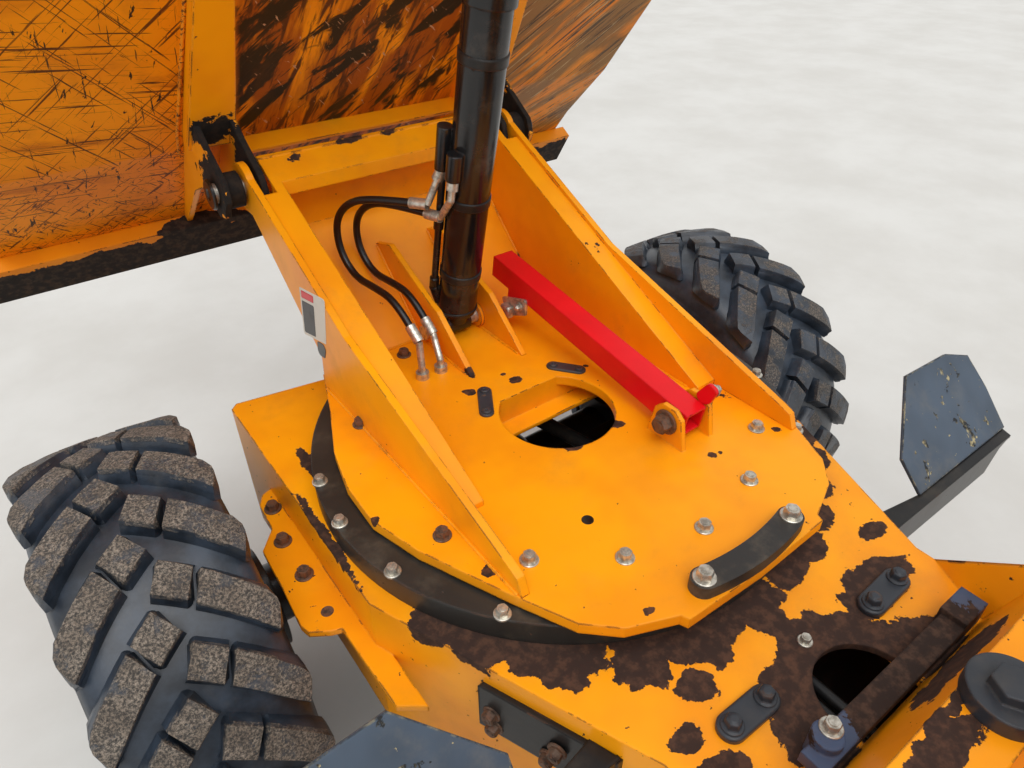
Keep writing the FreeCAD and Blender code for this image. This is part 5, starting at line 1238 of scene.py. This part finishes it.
@dataclass(frozen=True)
class TurntableHardware:
    """What is bolted on the turntable's plate and the ring under it."""

    zinc_bolts: tuple[Point, ...] = ((262, 252), (147, 333), (9, 363), (-132, 337), (-252, 258))
    browned_bolts: tuple[Point, ...] = ((135, -335), (313, -182), (338, 135))
    pad_bolts: tuple[Point, ...] = ((98, 437), (-98, 437))
    pad_top: float = 831.5
    straps: tuple[tuple[Point, Point], ...] = (((110, -72), (76, -128)), ((-86, -116), (-118, -74)))
    strap_half: float = 14.0
    strap_t: float = 4.5
    vent: Point = (140, 243)
    vent_r: float = 9.0
    ring_bolts: tuple[float, ...] = (-15.0, -1.0, 17.0, 40.5, 139.5, 163.0, 181.0, 195.0)
    ring_bolt_r: float = 443.0
    ring_top: float = 783.0

    def build(self) -> None:
        """Bolts, straps, a black disc of painted shade where the drain hole is, and the ring's screws."""
        zinc = Workpiece("turntable_zinc_bolts")
        for turn, (x, y) in enumerate(self.zinc_bolts):
            zinc.bolt((x, y, PLATE_Z), turn=turn * 0.9)
        for x, y in self.pad_bolts:
            zinc.bolt((x, y, self.pad_top), flats=22.0, turn=x)
        zinc.done(ZINC, Body.TURRET, Slot.ZINC)
        browned = Workpiece("turntable_browned_bolts")
        for turn, (x, y) in enumerate(self.browned_bolts):
            browned.bolt((x, y, PLATE_Z), turn=turn * 0.7)
        browned.done(BROWNED_ZINC, Body.TURRET, Slot.ZINC)
        straps = Workpiece("turntable_hose_straps")
        screws = Workpiece("hose_strap_screws")
        for first, last in self.straps:
            straps.strap(Plane((0, 0, PLATE_Z)), first, last, self.strap_half, self.strap_t)
            for x, y in (first, last):
                screws.turned((x, y, PLATE_Z + self.strap_t), (0, 0, 1),
                              ((-0.5, 9.0), (1.5, 9.0), (2.6, 7.5), (2.8, 3.0), (1.2, 2.2)), 20)
        straps.done(STRAP_PAINT, Body.TURRET, Slot.BLACK)
        screws.done(STRAP_PAINT, Body.TURRET, Slot.BLACK)
        # The drain hole is not cut: a black disc with a low rim on the plate is its painted shade
        vent = Workpiece("plate_drain_hole_shade_disc")
        r = self.vent_r
        vent.turned((*self.vent, PLATE_Z), (0, 0, 1),
                    ((-0.4, r + 1.2), (0.5, r + 0.6), (0.6, r - 0.4), (0.2, r - 1.6)))
        vent.done(GREASE_AND_HOLE_SHADE, Body.TURRET, Slot.BLACK)
        ring = Workpiece("ring_screws")
        for turn, degrees in enumerate(self.ring_bolts):
            a = math.radians(degrees)
            ring.bolt((self.ring_bolt_r * math.cos(a), self.ring_bolt_r * math.sin(a), self.ring_top),
                      flats=17.0, turn=turn)
        ring.done(ZINC, Body.FRONT, Slot.ZINC)


@dataclass(frozen=True)
class DeckHardware:
    """Bolts and straps of the front frame's deck, wings and web bracket."""

    wing_z: float = 640.0
    wing_bolts: tuple[Point, ...] = ((485, -254), (502, -164), (502, -70))
    wing_hole: Point = (503, 24)
    straps: tuple[tuple[Point, Point], ...] = (((189, 578), (124, 579)), ((-126, 580), (-197, 577)))
    strap_half: float = 20.0
    strap_t: float = 10.0
    small_bolt: Point = (3, 557, 741)
    bar_bolt: Point = (116, 661, 785)
    web_bolts: tuple[Point, ...] = ((382, 331, 651), (380, 335, 622), (349, 420, 630), (345, 432, 660))
    web_out: Point = (0.94, 0.34, 0.0)

    def build(self) -> None:
        """Everything that is bolted on the deck."""
        wing = Workpiece("wing_bolts")
        for side in (1, -1):
            for turn, (x, y) in enumerate(self.wing_bolts):
                wing.bolt((side * x, y, self.wing_z), flats=21.0, turn=turn * 1.3)
            x, y = self.wing_hole
            wing.turned((side * x, y, self.wing_z), (0, 0, 1),
                        ((-0.4, 11.0), (0.5, 10.6), (0.6, 9.4), (0.1, 8.0)))
        wing.done(BROWNED_ZINC, Body.FRONT, Slot.ZINC)
        straps = Workpiece("deck_pipe_clamps")
        bolts = Workpiece("deck_clamp_bolts")
        for first, last in self.straps:
            straps.strap(Plane((0, 0, DECK_Z)), first, last, self.strap_half, self.strap_t)
            for x, y in (first, last):
                bolts.bolt((x, y, DECK_Z + self.strap_t), flats=20.0, turn=x)
        straps.done(STRAP_PAINT, Body.FRONT, Slot.BLACK)
        bolts.done(STRAP_PAINT, Body.FRONT, Slot.BLACK)
        small = Workpiece("deck_zinc_bolts")
        small.bolt(self.small_bolt, flats=14.0)
        small.bolt(self.bar_bolt, flats=19.0)
        small.done(ZINC, Body.FRONT, Slot.ZINC)
        web = Workpiece("mudguard_bracket_bolts")
        for side in (1, -1):
            for turn, (x, y, z) in enumerate(self.web_bolts):
                out = (side * self.web_out[0], self.web_out[1], 0.0)
                web.bolt((side * (x + 10.0), y + 4.0, z), out, 19.0, turn)
        web.done(BROWNED_ZINC, Body.FRONT, Slot.ZINC)


@dataclass(frozen=True)
class BellyPlates:
    """Muddy sheet plates that close the front frame's underside round the axle."""

    top: float = 508.0
    thickness: float = 4.0
    outlines: tuple[tuple[Point, ...], ...] = (
        ((-440, -85), (440, -85), (440, 112), (262, 542), (262, 666), (-262, 666), (-262, 542), (-440, 112)),
        ((160, -455), (440, -455), (440, -324), (160, -324)),
        ((160, -184), (440, -184), (440, -88), (160, -88)),
        ((-440, -455), (-160, -455), (-160, -324), (-440, -324)),
        ((-440, -184), (-160, -184), (-160, -88), (-440, -88)))

    def build(self) -> None:
        """All plates, as one piece on the front frame."""
        work = Workpiece("belly_plates")
        for outline in self.outlines:
            work.plate(Plane((0, 0, self.top - self.thickness)), outline, 12.0, self.thickness)
        work.done(MUDDY_STEEL, Body.FRONT, Slot.WORN)


@dataclass(frozen=True)
class TurretTrim:
    """Weld beads, a blank sticker, and a black sheet of painted shade where the turret's side has a slot."""

    side_x: float = 312.0
    label: tuple[Point, ...] = ((-373, 1010), (-257, 1034), (-287, 928), (-397, 897))
    print_span: Point = (0.06, 0.56)
    slot: tuple[Point, ...] = ((-331, 914), (-289, 923), (-306, 887), (-339, 881))
    rib_x: float = 58.0
    rib_t: float = 12.0
    fold_y: float = -370.0
    floor_slope: float = -0.93
    wall_x: float = 251.0

    def spot(self, u: float, v: float) -> Point:
        """Place on the sticker.

        Args:
            u: Share of the way from its front to its rear.
            v: Share of the way from its bottom to its top.

        Returns:
            The place's y and z in the drawing.
        """
        top_front, top_rear, low_rear, low_front = (Vector(p) for p in self.label)
        return tuple(low_front.lerp(low_rear, u).lerp(top_front.lerp(top_rear, u), v))

    def panel(self, low: float, high: float) -> list[Point]:
        """Printed panel of the sticker.

        Args:
            low: Share of the way up at its bottom.
            high: Share of the way up at its top.

        Returns:
            Its corners, anticlockwise.
        """
        near, far = self.print_span
        return [self.spot(near, high), self.spot(near, low), self.spot(far, low), self.spot(far, high)]

    def floor(self, x: float, y: float) -> Point:
        """Point of the trough's floor."""
        return (x, y, PLATE_Z + (self.floor_slope * (y - self.fold_y) if y < self.fold_y else 0.0))

    def build(self) -> None:
        """Beads along the ribs, the walls and the side plates; the sticker; the slot's painted shade."""
        beads = Workpiece("turret_weld_beads")
        for side in (1, -1):
            for x in (self.rib_x - 1, self.rib_x + self.rib_t + 1):
                beads.weld([self.floor(side * x, y) for y in (-196, -370, -536)], 3.2)
            beads.weld([self.floor(side * (self.wall_x - 2), y) for y in (96, -370, -598)], 3.0)
            beads.weld([(side * (self.side_x + 1), y, PLATE_Z) for y in (292, -322)], 3.6)
        for span in ((-248, -72), (72, 248), (-56, 56)):
            beads.weld([self.floor(x, self.fold_y - 1) for x in span], 2.6)
        beads.done(TURRET_PAINT, Body.TURRET, Slot.YELLOW)
        out = Plane((self.side_x, 0, 0), (0, 1, 0), (0, 0, 1))
        pale = Workpiece("sticker_pale_ground")
        pale.plate(out, [self.spot(0, 1), self.spot(0, 0), self.spot(1, 0), self.spot(1, 1)], 5.0, 0.6, 0.2)
        pale.done(STICKER, Body.TURRET, None)
        dark = Workpiece("sticker_dark_panel")
        dark.plate(out, self.panel(0.06, 0.74), 3.0, 1.0, 0.2)
        dark.done(STICKER_DARK, Body.TURRET, None)
        band = Workpiece("sticker_red_band")
        band.plate(out, self.panel(0.8, 0.95), 2.0, 1.0, 0.2)
        band.done(RED_PAINT, Body.TURRET, Slot.RED)
        # The slot is not cut: a thin black sheet on the side plate is its painted shade
        hole = Workpiece("turret_side_slot_shade_sheet")
        hole.plate(out, [self.slot[0], self.slot[3], self.slot[2], self.slot[1]], 9.0, 0.8, 0.3)
        hole.done(GREASE_AND_HOLE_SHADE, Body.TURRET, Slot.BLACK)


@dataclass(frozen=True)
class RamTrim:
    """Bands of the tipping ram's barrel and the weld at its foot."""

    base: Point = (0, -345, 837)
    lean: float = 76.7
    radius: float = 40.0
    bands: tuple[float, ...] = (130.0, 300.0, 560.0)

    def along(self, distance: float) -> Vector:
        """Point up the ram's line."""
        a = math.radians(self.lean)
        return Vector(self.base) + Vector((0, math.cos(a), math.sin(a))) * distance

    def build(self) -> None:
        """Bands round the barrel, and the weld round its foot."""
        way = (self.along(1) - self.along(0)).normalized()
        bands = Workpiece("ram_pipe_bands")
        flat, proud = self.radius + 0.2, self.radius + 2.2
        section = ((0.0, flat), (0.8, proud), (17.0, proud), (18.0, flat))
        for distance in self.bands:
            bands.turned(self.along(distance), way, section, 40)
        bands.weld([self.along(43) + Vector((math.cos(t), math.sin(t), 0.0)) * (self.radius + 0.6)
                    for t in (2 * math.pi * i / 40 for i in range(41))], 3.0)
        bands.done(BLACK_PAINT, Body.RAM_BARREL, Slot.BLACK)


@dataclass(frozen=True)
class PropTrim:
    """Zinc clip, tail lever and pivot bolts of the red safety prop."""

    clip: tuple[Point, ...] = ((-322, 873), (-304, 834), (-237, 863), (-237, 901))
    side_x: float = -112.0
    lever: tuple[Point, ...] = ((226, 912), (204, 918), (182, 884), (196, 868), (214, 880))
    lever_x: float = -160.0
    pin: Point = (180, 851)
    ear_x: float = -94.0
    far_ear_x: float = -178.0

    def build(self) -> None:
        """The clip with its catch, the lever, and the bolts of both."""
        out = Plane((self.side_x, 0, 0), (0, 1, 0), (0, 0, 1))
        clip = Workpiece("prop_spring_clip")
        clip.plate(out, self.clip, 6.0, 5.0)
        (y0, z0), z1 = self.clip[0], self.clip[1][1]
        clip.block((self.side_x + 3, y0 + 14, z1 + 6), (self.side_x + 20, y0 + 44, z0 - 6), 3.0)
        clip.bolt((self.side_x + 5, -258, 876), (1, 0, 0), 13.0)
        clip.done(ZINC, Body.PROP, Slot.ZINC)
        lever = Workpiece("prop_tail_lever")
        back = Plane((self.lever_x, 0, 0), (0, -1, 0), (0, 0, 1))
        lever.plate(back, self.turned_corners(), 9.0, 9.0, 2.0)
        lever.done(RED_PAINT, Body.PROP, Slot.RED)
        bolts = Workpiece("prop_bolts")
        y, z = self.pin
        bolts.bolt((self.ear_x, y, z), (1, 0, 0), 30.0)
        bolts.bolt((self.far_ear_x, y, z), (-1, 0, 0), 30.0)
        bolts.done(BROWNED_ZINC, Body.TURRET, Slot.ZINC)
        tail = Workpiece("prop_lever_screw")
        tail.bolt((self.lever_x - 9, 212, 903), (-1, 0, 0), 15.0)
        tail.turned((self.lever_x - 8, 196, 884), (-1, 0, 0), ((0.0, 7.0), (12.0, 7.0), (15.0, 5.0)), 16)
        tail.done(ZINC, Body.PROP, Slot.ZINC)

    def turned_corners(self) -> list[Point]:
        """The lever's outline as seen from the machine's right, anticlockwise."""
        return [(-y, z) for y, z in reversed(self.lever)]


@dataclass(frozen=True)
class SkipTrim:
    """Weld beads under the skip and the greasy discs that keep its pivots."""

    pivot: Point = (-590.0, 1132.0)
    tip: float = 58.0
    floor_b: float = 160.0
    rib_x: Point = (278.0, 372.0)
    rib_end: Point = (240.0, 300.0)

    def place(self, x: float, a: float, b: float) -> Point:
        """Point of the tipped skip.

        Args:
            x: Place across the skip.
            a: Distance from the pivot back along the floor.
            b: Distance from the pivot square to the floor.

        Returns:
            The point in the drawing.
        """
        t = math.radians(self.tip)
        y, z = self.pivot
        return (x, y + a * math.cos(t) - b * math.sin(t), z + a * math.sin(t) + b * math.cos(t))

    def build(self) -> None:
        """Beads beside the ribs, and a disc over each pivot."""
        beads = Workpiece("skip_weld_beads")
        for side in (1, -1):
            for near, far in zip(self.rib_x, self.rib_end):
                shift = 1.5 if near > 300 else -1.5
                line = ((near, -60), (near, 0), ((near + far) / 2 + 4 * (near < 300), 320), (far, 1040))
                beads.weld([self.place(side * (x + shift), a, self.floor_b - 1) for x, a in line], 4.0, 8.0)
        beads.done(SKIP_PAINT, Body.SKIP, Slot.YELLOW)
        pins = Workpiece("tip_pin_keepers")
        y, z = self.pivot
        for side in (1, -1):
            pins.turned((side * self.rib_x[1], y, z), (side, 0, 0),
                        ((-1.0, 29.0), (3.0, 29.0), (5.0, 27.0), (5.4, 12.0), (3.0, 9.0)), 28)
        pins.done(GREASE_AND_HOLE_SHADE, Body.SKIP, Slot.BLACK)


@dataclass(frozen=True)
class SeatPad:
    """Foam pad of the driver's seat under stretched vinyl, with two sewn channels."""

    name: str
    replaced: str
    size: Point
    centre: Point
    lean: float
    channels: tuple[float, ...] = (-78.0, 78.0)
    # Half width and depth of a channel, size of a voxel and cap on the filling, in metres
    channel: float = 0.009
    voxel: float = 0.006
    cap: float = 0.012
    frames: int = 20
    shrink: float = 8.0
    corner: float = 46.0
    piping: float = 3.4

    def outline(self, x: float, y: float) -> Point:
        """Where a point of the blank lies once the pad stands in its place.

        Args:
            x: Depth of the pad, front to back or low to high.
            y: Height above the pad's middle.

        Returns:
            The point's y and z in the drawing.
        """
        a = math.radians(self.lean)
        return (self.centre[1] + x * math.cos(a) - y * math.sin(a),
                self.centre[2] + x * math.sin(a) + y * math.cos(a))

    def blank(self) -> Workpiece:
        """Pad before it is filled: a closed form with round ends and a soft crown.

        Returns:
            The blank in its place.
        """
        work = Workpiece(self.name)
        wide, deep, high = (s / 2 - self.shrink for s in self.size)
        rings = []
        stations = 25
        for i in range(stations):
            u = math.sin(math.pi / 2 * (2 * i / (stations - 1) - 1))
            ease = max(0.0, 1 - abs(u) ** 7) ** (1 / 5)
            ring = []
            for k in range(40):
                t = 2 * math.pi * k / 40
                c, s = math.cos(t), math.sin(t)
                y = math.copysign(abs(c) ** 0.4, c) * deep * (0.9 + 0.1 * ease)
                z = math.copysign(abs(s) ** 0.5, s) * high * (0.45 + 0.55 * ease)
                py, pz = self.outline(y, z)
                ring.append(Vector((self.centre[0] + u * wide, py, pz)))
            rings.append(ring)
        work.skin(rings)
        return work

    def mesh_now(self, pad: bpy.types.Object, bench: bpy.types.Scene) -> bpy.types.Mesh:
        """Mesh of the pad with its modifiers applied.

        Args:
            pad: The pad.
            bench: The scene that holds it, at the frame that counts.

        Returns:
            A new mesh.
        """
        layer = bench.view_layers[0]
        layer.update()
        return bpy.data.meshes.new_from_object(pad.evaluated_get(layer.depsgraph))

    def fill(self, pad: bpy.types.Object, bench: bpy.types.Scene) -> None:
        """Remesh the cover and blow it up a little, with a cap on each point's way.

        Args:
            pad: The blank pad.
            bench: The scene that holds it and steps its frames.
        """
        cover = pad.modifiers.new("cover", "REMESH")
        cover.mode = "VOXEL"
        cover.voxel_size = self.voxel
        pad.data = self.mesh_now(pad, bench)
        pad.modifiers.clear()
        before = [v.co.copy() for v in pad.data.vertices]
        cloth = pad.modifiers.new("vinyl", "CLOTH")
        cloth.settings.use_pressure = True
        cloth.settings.uniform_pressure_force = 4.0
        cloth.settings.effector_weights.gravity = 0.0
        cloth.settings.quality = 2
        cloth.collision_settings.use_collision = False
        cloth.point_cache.frame_start, cloth.point_cache.frame_end = 1, self.frames
        for frame in range(1, self.frames + 1):
            bench.frame_set(frame)
        pad.data = self.mesh_now(pad, bench)
        pad.modifiers.clear()
        for vert, old in zip(pad.data.vertices, before):
            way = vert.co - old
            vert.co = old + way * min(1.0, self.cap / max(way.length, 1e-9))

    def sew(self, pad: bpy.types.Object, bench: bpy.types.Scene) -> None:
        """Round the pad's mesh once more and press the sewn channels into it.

        Args:
            pad: The filled pad.
            bench: The scene that holds it.
        """
        smooth = pad.modifiers.new("round", "SUBSURF")
        smooth.levels = smooth.render_levels = 1
        pad.data = self.mesh_now(pad, bench)
        pad.modifiers.clear()
        a = math.radians(self.lean)
        up = Vector((0.0, -math.sin(a), math.cos(a)))
        facing = [vert.normal.dot(up) for vert in pad.data.vertices]
        for vert, share in zip(pad.data.vertices, facing):
            if share > 0.3:
                for channel in self.channels:
                    near = (vert.co.x - (self.centre[0] + channel) * MM) / self.channel
                    vert.co -= up * (self.channel * math.exp(-near * near))
        pad.data.polygons.foreach_set("use_smooth", [True] * len(pad.data.polygons))

    def build(self) -> None:
        """The pad, filled and sewn, and the piping along its edge."""
        pad = self.blank().done(SEAT_VINYL, Body.REAR, Slot.VINYL, (self.replaced,))
        bench = bpy.data.scenes.new("workbench")
        bench.collection.objects.link(pad)
        self.fill(pad, bench)
        self.sew(pad, bench)
        bpy.data.scenes.remove(bench)
        pad.data.materials.clear()
        pad.data.materials.append(SEAT_VINYL.material())
        piping = Workpiece(f"{self.name}_piping")
        wide, deep = self.size[0] / 2 - self.shrink, self.size[1] / 2 - self.shrink + 3
        line = rounded(((-wide, -deep), (wide, -deep), (wide, deep), (-wide, deep)), self.corner, 0.0, 8)
        loop = [(self.centre[0] + x, *self.outline(y, 6.0)) for x, y in line]
        piping.pipe(loop + loop[:1], self.piping, 8)
        piece = piping.done(SEAT_VINYL, Body.REAR, Slot.VINYL)


@dataclass(frozen=True)
class DriversPlace:
    """Small fittings round the driver: knobs, gauges, pedal rubbers and the floor's tread."""

    levers: tuple[float, ...] = (-172.0, -140.0, -108.0)
    lever_top: Point = (1040.0, 1232.0)
    platform: tuple[Point, Point] = ((-536.0, 966.0), (536.0, 1366.0))
    floor_z: float = 648.0
    pitch: float = 42.0
    gauges: tuple[Point, ...] = ((-70, 30), (10, 30), (76, 20), (124, 16), (160, 16))
    gauge_at: Point = (1121.0, 1137.0)
    handwheel: Point = (0.0, 1262.0, 1262.0)
    tilt: float = 35.0

    def build(self) -> None:
        """Knobs, gauges, pedal rubbers, tread bars, and the wheel's cap and spinner knob."""
        knobs = Workpiece("lever_knobs")
        for x in self.levers:
            knobs.turned((x, self.lever_top[0], self.lever_top[1]), (0, -0.1, 1),
                         ((-19, 7), (-16, 11), (-8, 16.2), (0, 17.5), (8, 16), (14, 10.5), (17, 3)), 20)
        knobs.done(BLACK_PLASTIC, Body.REAR, Slot.PLASTIC)
        slope = Vector((0, 30, -20)).normalized()
        dials, glass = Workpiece("dash_gauges"), Workpiece("dash_gauge_glass")
        for x, r in self.gauges:
            spot = Vector((x, *self.gauge_at)) - slope * 2
            dials.turned(spot, (0, 0.6, 0.8), ((-6, r), (4, r), (6, r - 2), (5, r - 5), (2, r - 6)), 32)
            glass.turned(spot, (0, 0.6, 0.8), ((1.0, r - 6), (3.0, r - 6.2), (3.4, r - 12)), 32)
        dials.done(BLACK_PLASTIC, Body.REAR, Slot.PLASTIC)
        glass.done(CLEAR_LENS, Body.REAR, Slot.LENS)
        tread = Workpiece("platform_tread_bars")
        (x0, y0), (x1, y1) = self.platform
        for i in range(int((x1 - x0) / self.pitch)):
            for k in range(int((y1 - y0) / self.pitch)):
                x, y = x0 + 22 + i * self.pitch, y0 + 22 + k * self.pitch
                if abs(x) < 216 and y < 1140:
                    continue
                turn = math.radians(45 if (i + k) % 2 else -45)
                way = Vector((math.cos(turn), math.sin(turn), 0))
                side = Vector((-way.y, way.x, 0))
                spot = Vector((x, y, self.floor_z))
                rings = []
                for height, half, wide in ((-0.2, 15.0, 4.0), (1.6, 12.5, 2.6), (2.0, 9.0, 1.4)):
                    lift = spot + Vector((0, 0, height))
                    rings.append([lift + way * (half * math.cos(t)) + side * (wide * math.sin(t))
                                  for t in (2 * math.pi * m / 10 for m in range(10))])
                tread.skin(rings)
        tread.done(YELLOW_PAINT, Body.REAR, Slot.YELLOW)
        rubbers = Workpiece("pedal_rubbers")
        face = Plane((0, 1121.0, 700.0), (1, 0, 0), (0, 42, 48))
        for x in (-120, 120):
            rubbers.plate(face, [(x - 43, 6), (x + 43, 6), (x + 43, 62), (x - 43, 62)], 8.0, 5.0)
            for row_at in range(5):
                v = 14 + row_at * 10
                rubbers.plate(Plane(face.point(0, 0, 4.5), face.across, face.up),
                              [(x - 38, v), (x + 38, v), (x + 38, v + 5), (x - 38, v + 5)], 2.4, 3.0)
        rubbers.done(BLACK_PLASTIC, Body.REAR, Slot.PLASTIC)
        a = math.radians(self.tilt)
        axis = Vector((0, math.sin(a), math.cos(a)))
        cap = Workpiece("steering_wheel_cap")
        cap.turned(Vector(self.handwheel) + axis * 2, axis,
                   ((0, 36), (6, 36), (11, 31), (13, 20), (13.4, 8)), 32)
        cap.turned(Vector(self.handwheel) + Vector((128.0, 0, 0)) + axis * 8, axis,
                   ((0, 8), (10, 8), (14, 13), (26, 17), (38, 17.5), (48, 13), (51, 5)), 20)
        cap.done(BLACK_PLASTIC, Body.HANDWHEEL, Slot.PLASTIC)


@dataclass(frozen=True)
class BodyTrim:
    """Latches, tank caps, lamp bezels and bolts of the rear half."""

    bonnet_x: float = 395.0
    latch: Point = (2470.0, 800.0)
    tank_cap: Point = (420.0, 1500.0, 624.0)
    beacon: Point = (-300.0, 1900.0, 2680.0)
    bar_x: float = 440.0
    bar_y: float = 1900.0
    bar_z: float = 1290.0
    weight_y: float = 2600.0
    headlamp: Point = (360.0, 908.0, 770.0)

    def build(self) -> None:
        """All of it, piece by piece."""
        latch = Workpiece("bonnet_latches")
        caps = Workpiece("tank_filler_caps")
        bolts = Workpiece("roll_bar_bolts")
        for side in (1, -1):
            plane = Plane((side * self.bonnet_x, 0, 0), (0, side, 0), (0, 0, 1))
            y, z = self.latch
            latch.plate(plane, [(side * y - 24, z - 40), (side * y + 24, z - 40), (side * y + 24, z + 40),
                                (side * y - 24, z + 40)], 9.0, 4.0)
            latch.plate(Plane(plane.point(0, 0, 3.0), plane.across, plane.up),
                        [(side * y - 9, z - 30), (side * y + 9, z - 30), (side * y + 9, z + 22),
                         (side * y - 9, z + 22)], 6.0, 9.0, 2.5)
            x, ty, tz = self.tank_cap
            caps.turned((side * x, ty, tz), (0, 0, 1),
                        ((-1, 44), (6, 44), (8, 40), (8, 36), (26, 36), (30, 33), (30, 12)), 36)
            caps.block((side * x - 30, ty - 5, tz + 28), (side * x + 30, ty + 5, tz + 40), 3.0)
            for end, out in ((self.bar_x + 40, 1), (self.bar_x - 40, -1)):
                bolts.bolt((side * end, self.bar_y, self.bar_z - 90), (side * out, 0, 0), 24.0)
                bolts.bolt((side * (end + 6 * out), self.bar_y, self.bar_z), (side * out, 0, 0), 30.0)
        latch.done(BLACK_PLASTIC, Body.BONNET, Slot.PLASTIC)
        caps.done(BLACK_PLASTIC, Body.REAR, Slot.PLASTIC)
        bolts.done(ZINC, Body.REAR, Slot.ZINC)
        dome = Workpiece("beacon_base_ring")
        dome.turned(self.beacon, (0, 0, 1), ((-19, 64.5), (-4, 64.5), (1, 60), (2, 55)), 40)
        dome.done(BLACK_PLASTIC, Body.ROPS, Slot.PLASTIC)
        bezels = Workpiece("headlamp_bezels")
        for side in (1, -1):
            x, y, z = self.headlamp
            bezels.turned((side * x, y, z), (0, -1, 0),
                          ((-20, 62), (-2, 62), (0.5, 60), (0.5, 54), (-1, 52)), 40)
        bezels.done(BLACK_PLASTIC, Body.REAR, Slot.PLASTIC)
        frames = Workpiece("rear_lamp_frames")
        for side in (1, -1):
            x0, x1 = sorted((side * 316.0, side * 419.0))
            frames.block((x0, self.weight_y, 586), (x1, self.weight_y + 12, 664), 4.0)
        frames.done(BLACK_PLASTIC, Body.REAR, Slot.PLASTIC)


LIFT_HOSE = ((142, -283, 907), (146, -325, 944), (154, -394, 948), (162, -464, 945), (168, -512, 990),
             (166, -512, 1058), (150, -466, 1106), (120, -403, 1122), (85, -341, 1126))
LOWER_HOSE = ((94, -309, 895), (97, -350, 931), (105, -414, 936), (114, -478, 934), (120, -524, 978),
              (118, -524, 1044), (104, -478, 1088), (82, -404, 1101), (60, -329, 1103))


@dataclass(frozen=True)
class Studio:
    """Pale floor, soft light and the photograph's camera."""

    floor: str = "#CFCECA"
    floor_worn: str = "#C5C3BE"
    focal: float = 722.2
    eye: Point = (704.0, 805.0, 1637.0)
    heading: Point = (-0.597, -0.802)
    pitch: float = 35.74
    roll: float = -0.19
    surround: float = 0.7
    # Name, turn, strength and angle of each lamp
    lamps: tuple[tuple[str, Point, float, float], ...] = (
        ("overhead_lamp", (-24.0, 10.0, 0.0), 1.85, 55.0), ("side_lamp", (50.0, 40.0, 0.0), 0.4, 70.0))

    def build(self) -> None:
        """Make the floor, the lamps and the camera."""
        scene = bpy.context.scene
        scene.view_settings.view_transform = "Standard"
        self.lay_floor()
        self.hang_lamps()
        data = bpy.data.cameras.new("photo_camera")
        data.sensor_width = SENSOR_WIDTH
        data.lens = self.focal * SENSOR_WIDTH / PHOTO_WIDTH
        data.clip_start, data.clip_end = 0.02, 200.0
        camera = bpy.data.objects.new("photo_camera", data)
        scene.collection.objects.link(camera)
        dip = math.radians(self.pitch)
        ahead, aside = (share * math.cos(dip) for share in self.heading)
        forward = Vector((ahead, aside, -math.sin(dip)))
        turn = forward.to_track_quat("-Z", "Y")
        camera.rotation_mode = "QUATERNION"
        camera.rotation_quaternion = turn @ Matrix.Rotation(math.radians(self.roll), 3, "Z").to_quaternion()
        camera.location = row(self.eye)
        scene.camera = camera

    def lay_floor(self) -> None:
        """A wide pale floor of nearly one shade."""
        work = bmesh.new()
        bmesh.ops.create_grid(work, x_segments=8, y_segments=8, size=30.0)
        mesh = bpy.data.meshes.new("studio_floor")
        work.to_mesh(mesh)
        work.free()
        floor = bpy.data.objects.new("studio_floor", mesh)
        bpy.context.scene.collection.objects.link(floor)
        made = bpy.data.materials.new("pale_floor")
        made.use_nodes = True
        tree = made.node_tree
        tree.nodes.clear()
        place = add_node(tree, "TexCoord").outputs["Object"]
        shade = blotches(tree, place, 700.0, 0.3, 0.7)
        colour = add_node(tree, "Mix", {0: shade, 6: self.floor, 7: self.floor_worn}, data_type="RGBA")
        shader = add_node(tree, "BsdfPrincipled", {"Base Color": colour, "Roughness": 0.9})
        add_node(tree, "OutputMaterial", {"Surface": shader})
        mesh.materials.append(made)

    def hang_lamps(self) -> None:
        """A white surround and two broad lamps."""
        world = bpy.data.worlds.new("studio_surround")
        bpy.context.scene.world = world
        world.use_nodes = True
        back = world.node_tree.nodes["Background"]
        back.inputs["Color"].default_value = (1.0, 1.0, 1.0, 1.0)
        back.inputs["Strength"].default_value = self.surround
        for name, turn, strength, angle in self.lamps:
            light = bpy.data.lights.new(name, "SUN")
            light.energy = strength
            light.angle = math.radians(angle)
            lamp = bpy.data.objects.new(name, light)
            lamp.rotation_euler = tuple(math.radians(a) for a in turn)
            bpy.context.scene.collection.objects.link(lamp)


def main() -> None:
    """Load the frame, dress it and report each piece."""
    logging.basicConfig(level=logging.INFO, format="%(relativeCreated)d ms %(message)s")
    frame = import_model()
    PressureHose("lift_hose", LIFT_HOSE, 528.2).build()
    PressureHose("lower_hose", LOWER_HOSE, 522.5).build()
    Studio().build()
    dress_solids(frame["nodes"])
    for axle, y in (("front", -254.0), ("rear", 1804.0)):
        for hand, side in (("left", 1), ("right", -1)):
            TractionTyre(f"{axle}_{hand}", y, side).build()
    cushion = SeatPad("seat_cushion_pad", "seat_cushion", (472.0, 336.0, 104.0), (0.0, 1590.0, 980.0), 0.0)
    back = SeatPad("seat_back_pad", "seat_back", (442.0, 372.0, 84.0), (0.0, 1764.0, 1216.0), 80.8 + 180.0)
    for part in (TurntableHardware(), DeckHardware(), BellyPlates(), TurretTrim(), RamTrim(), PropTrim(),
                 SkipTrim(), cushion, back, DriversPlace(), BodyTrim()):
        part.build()


if __name__ == "__main__":
    main()
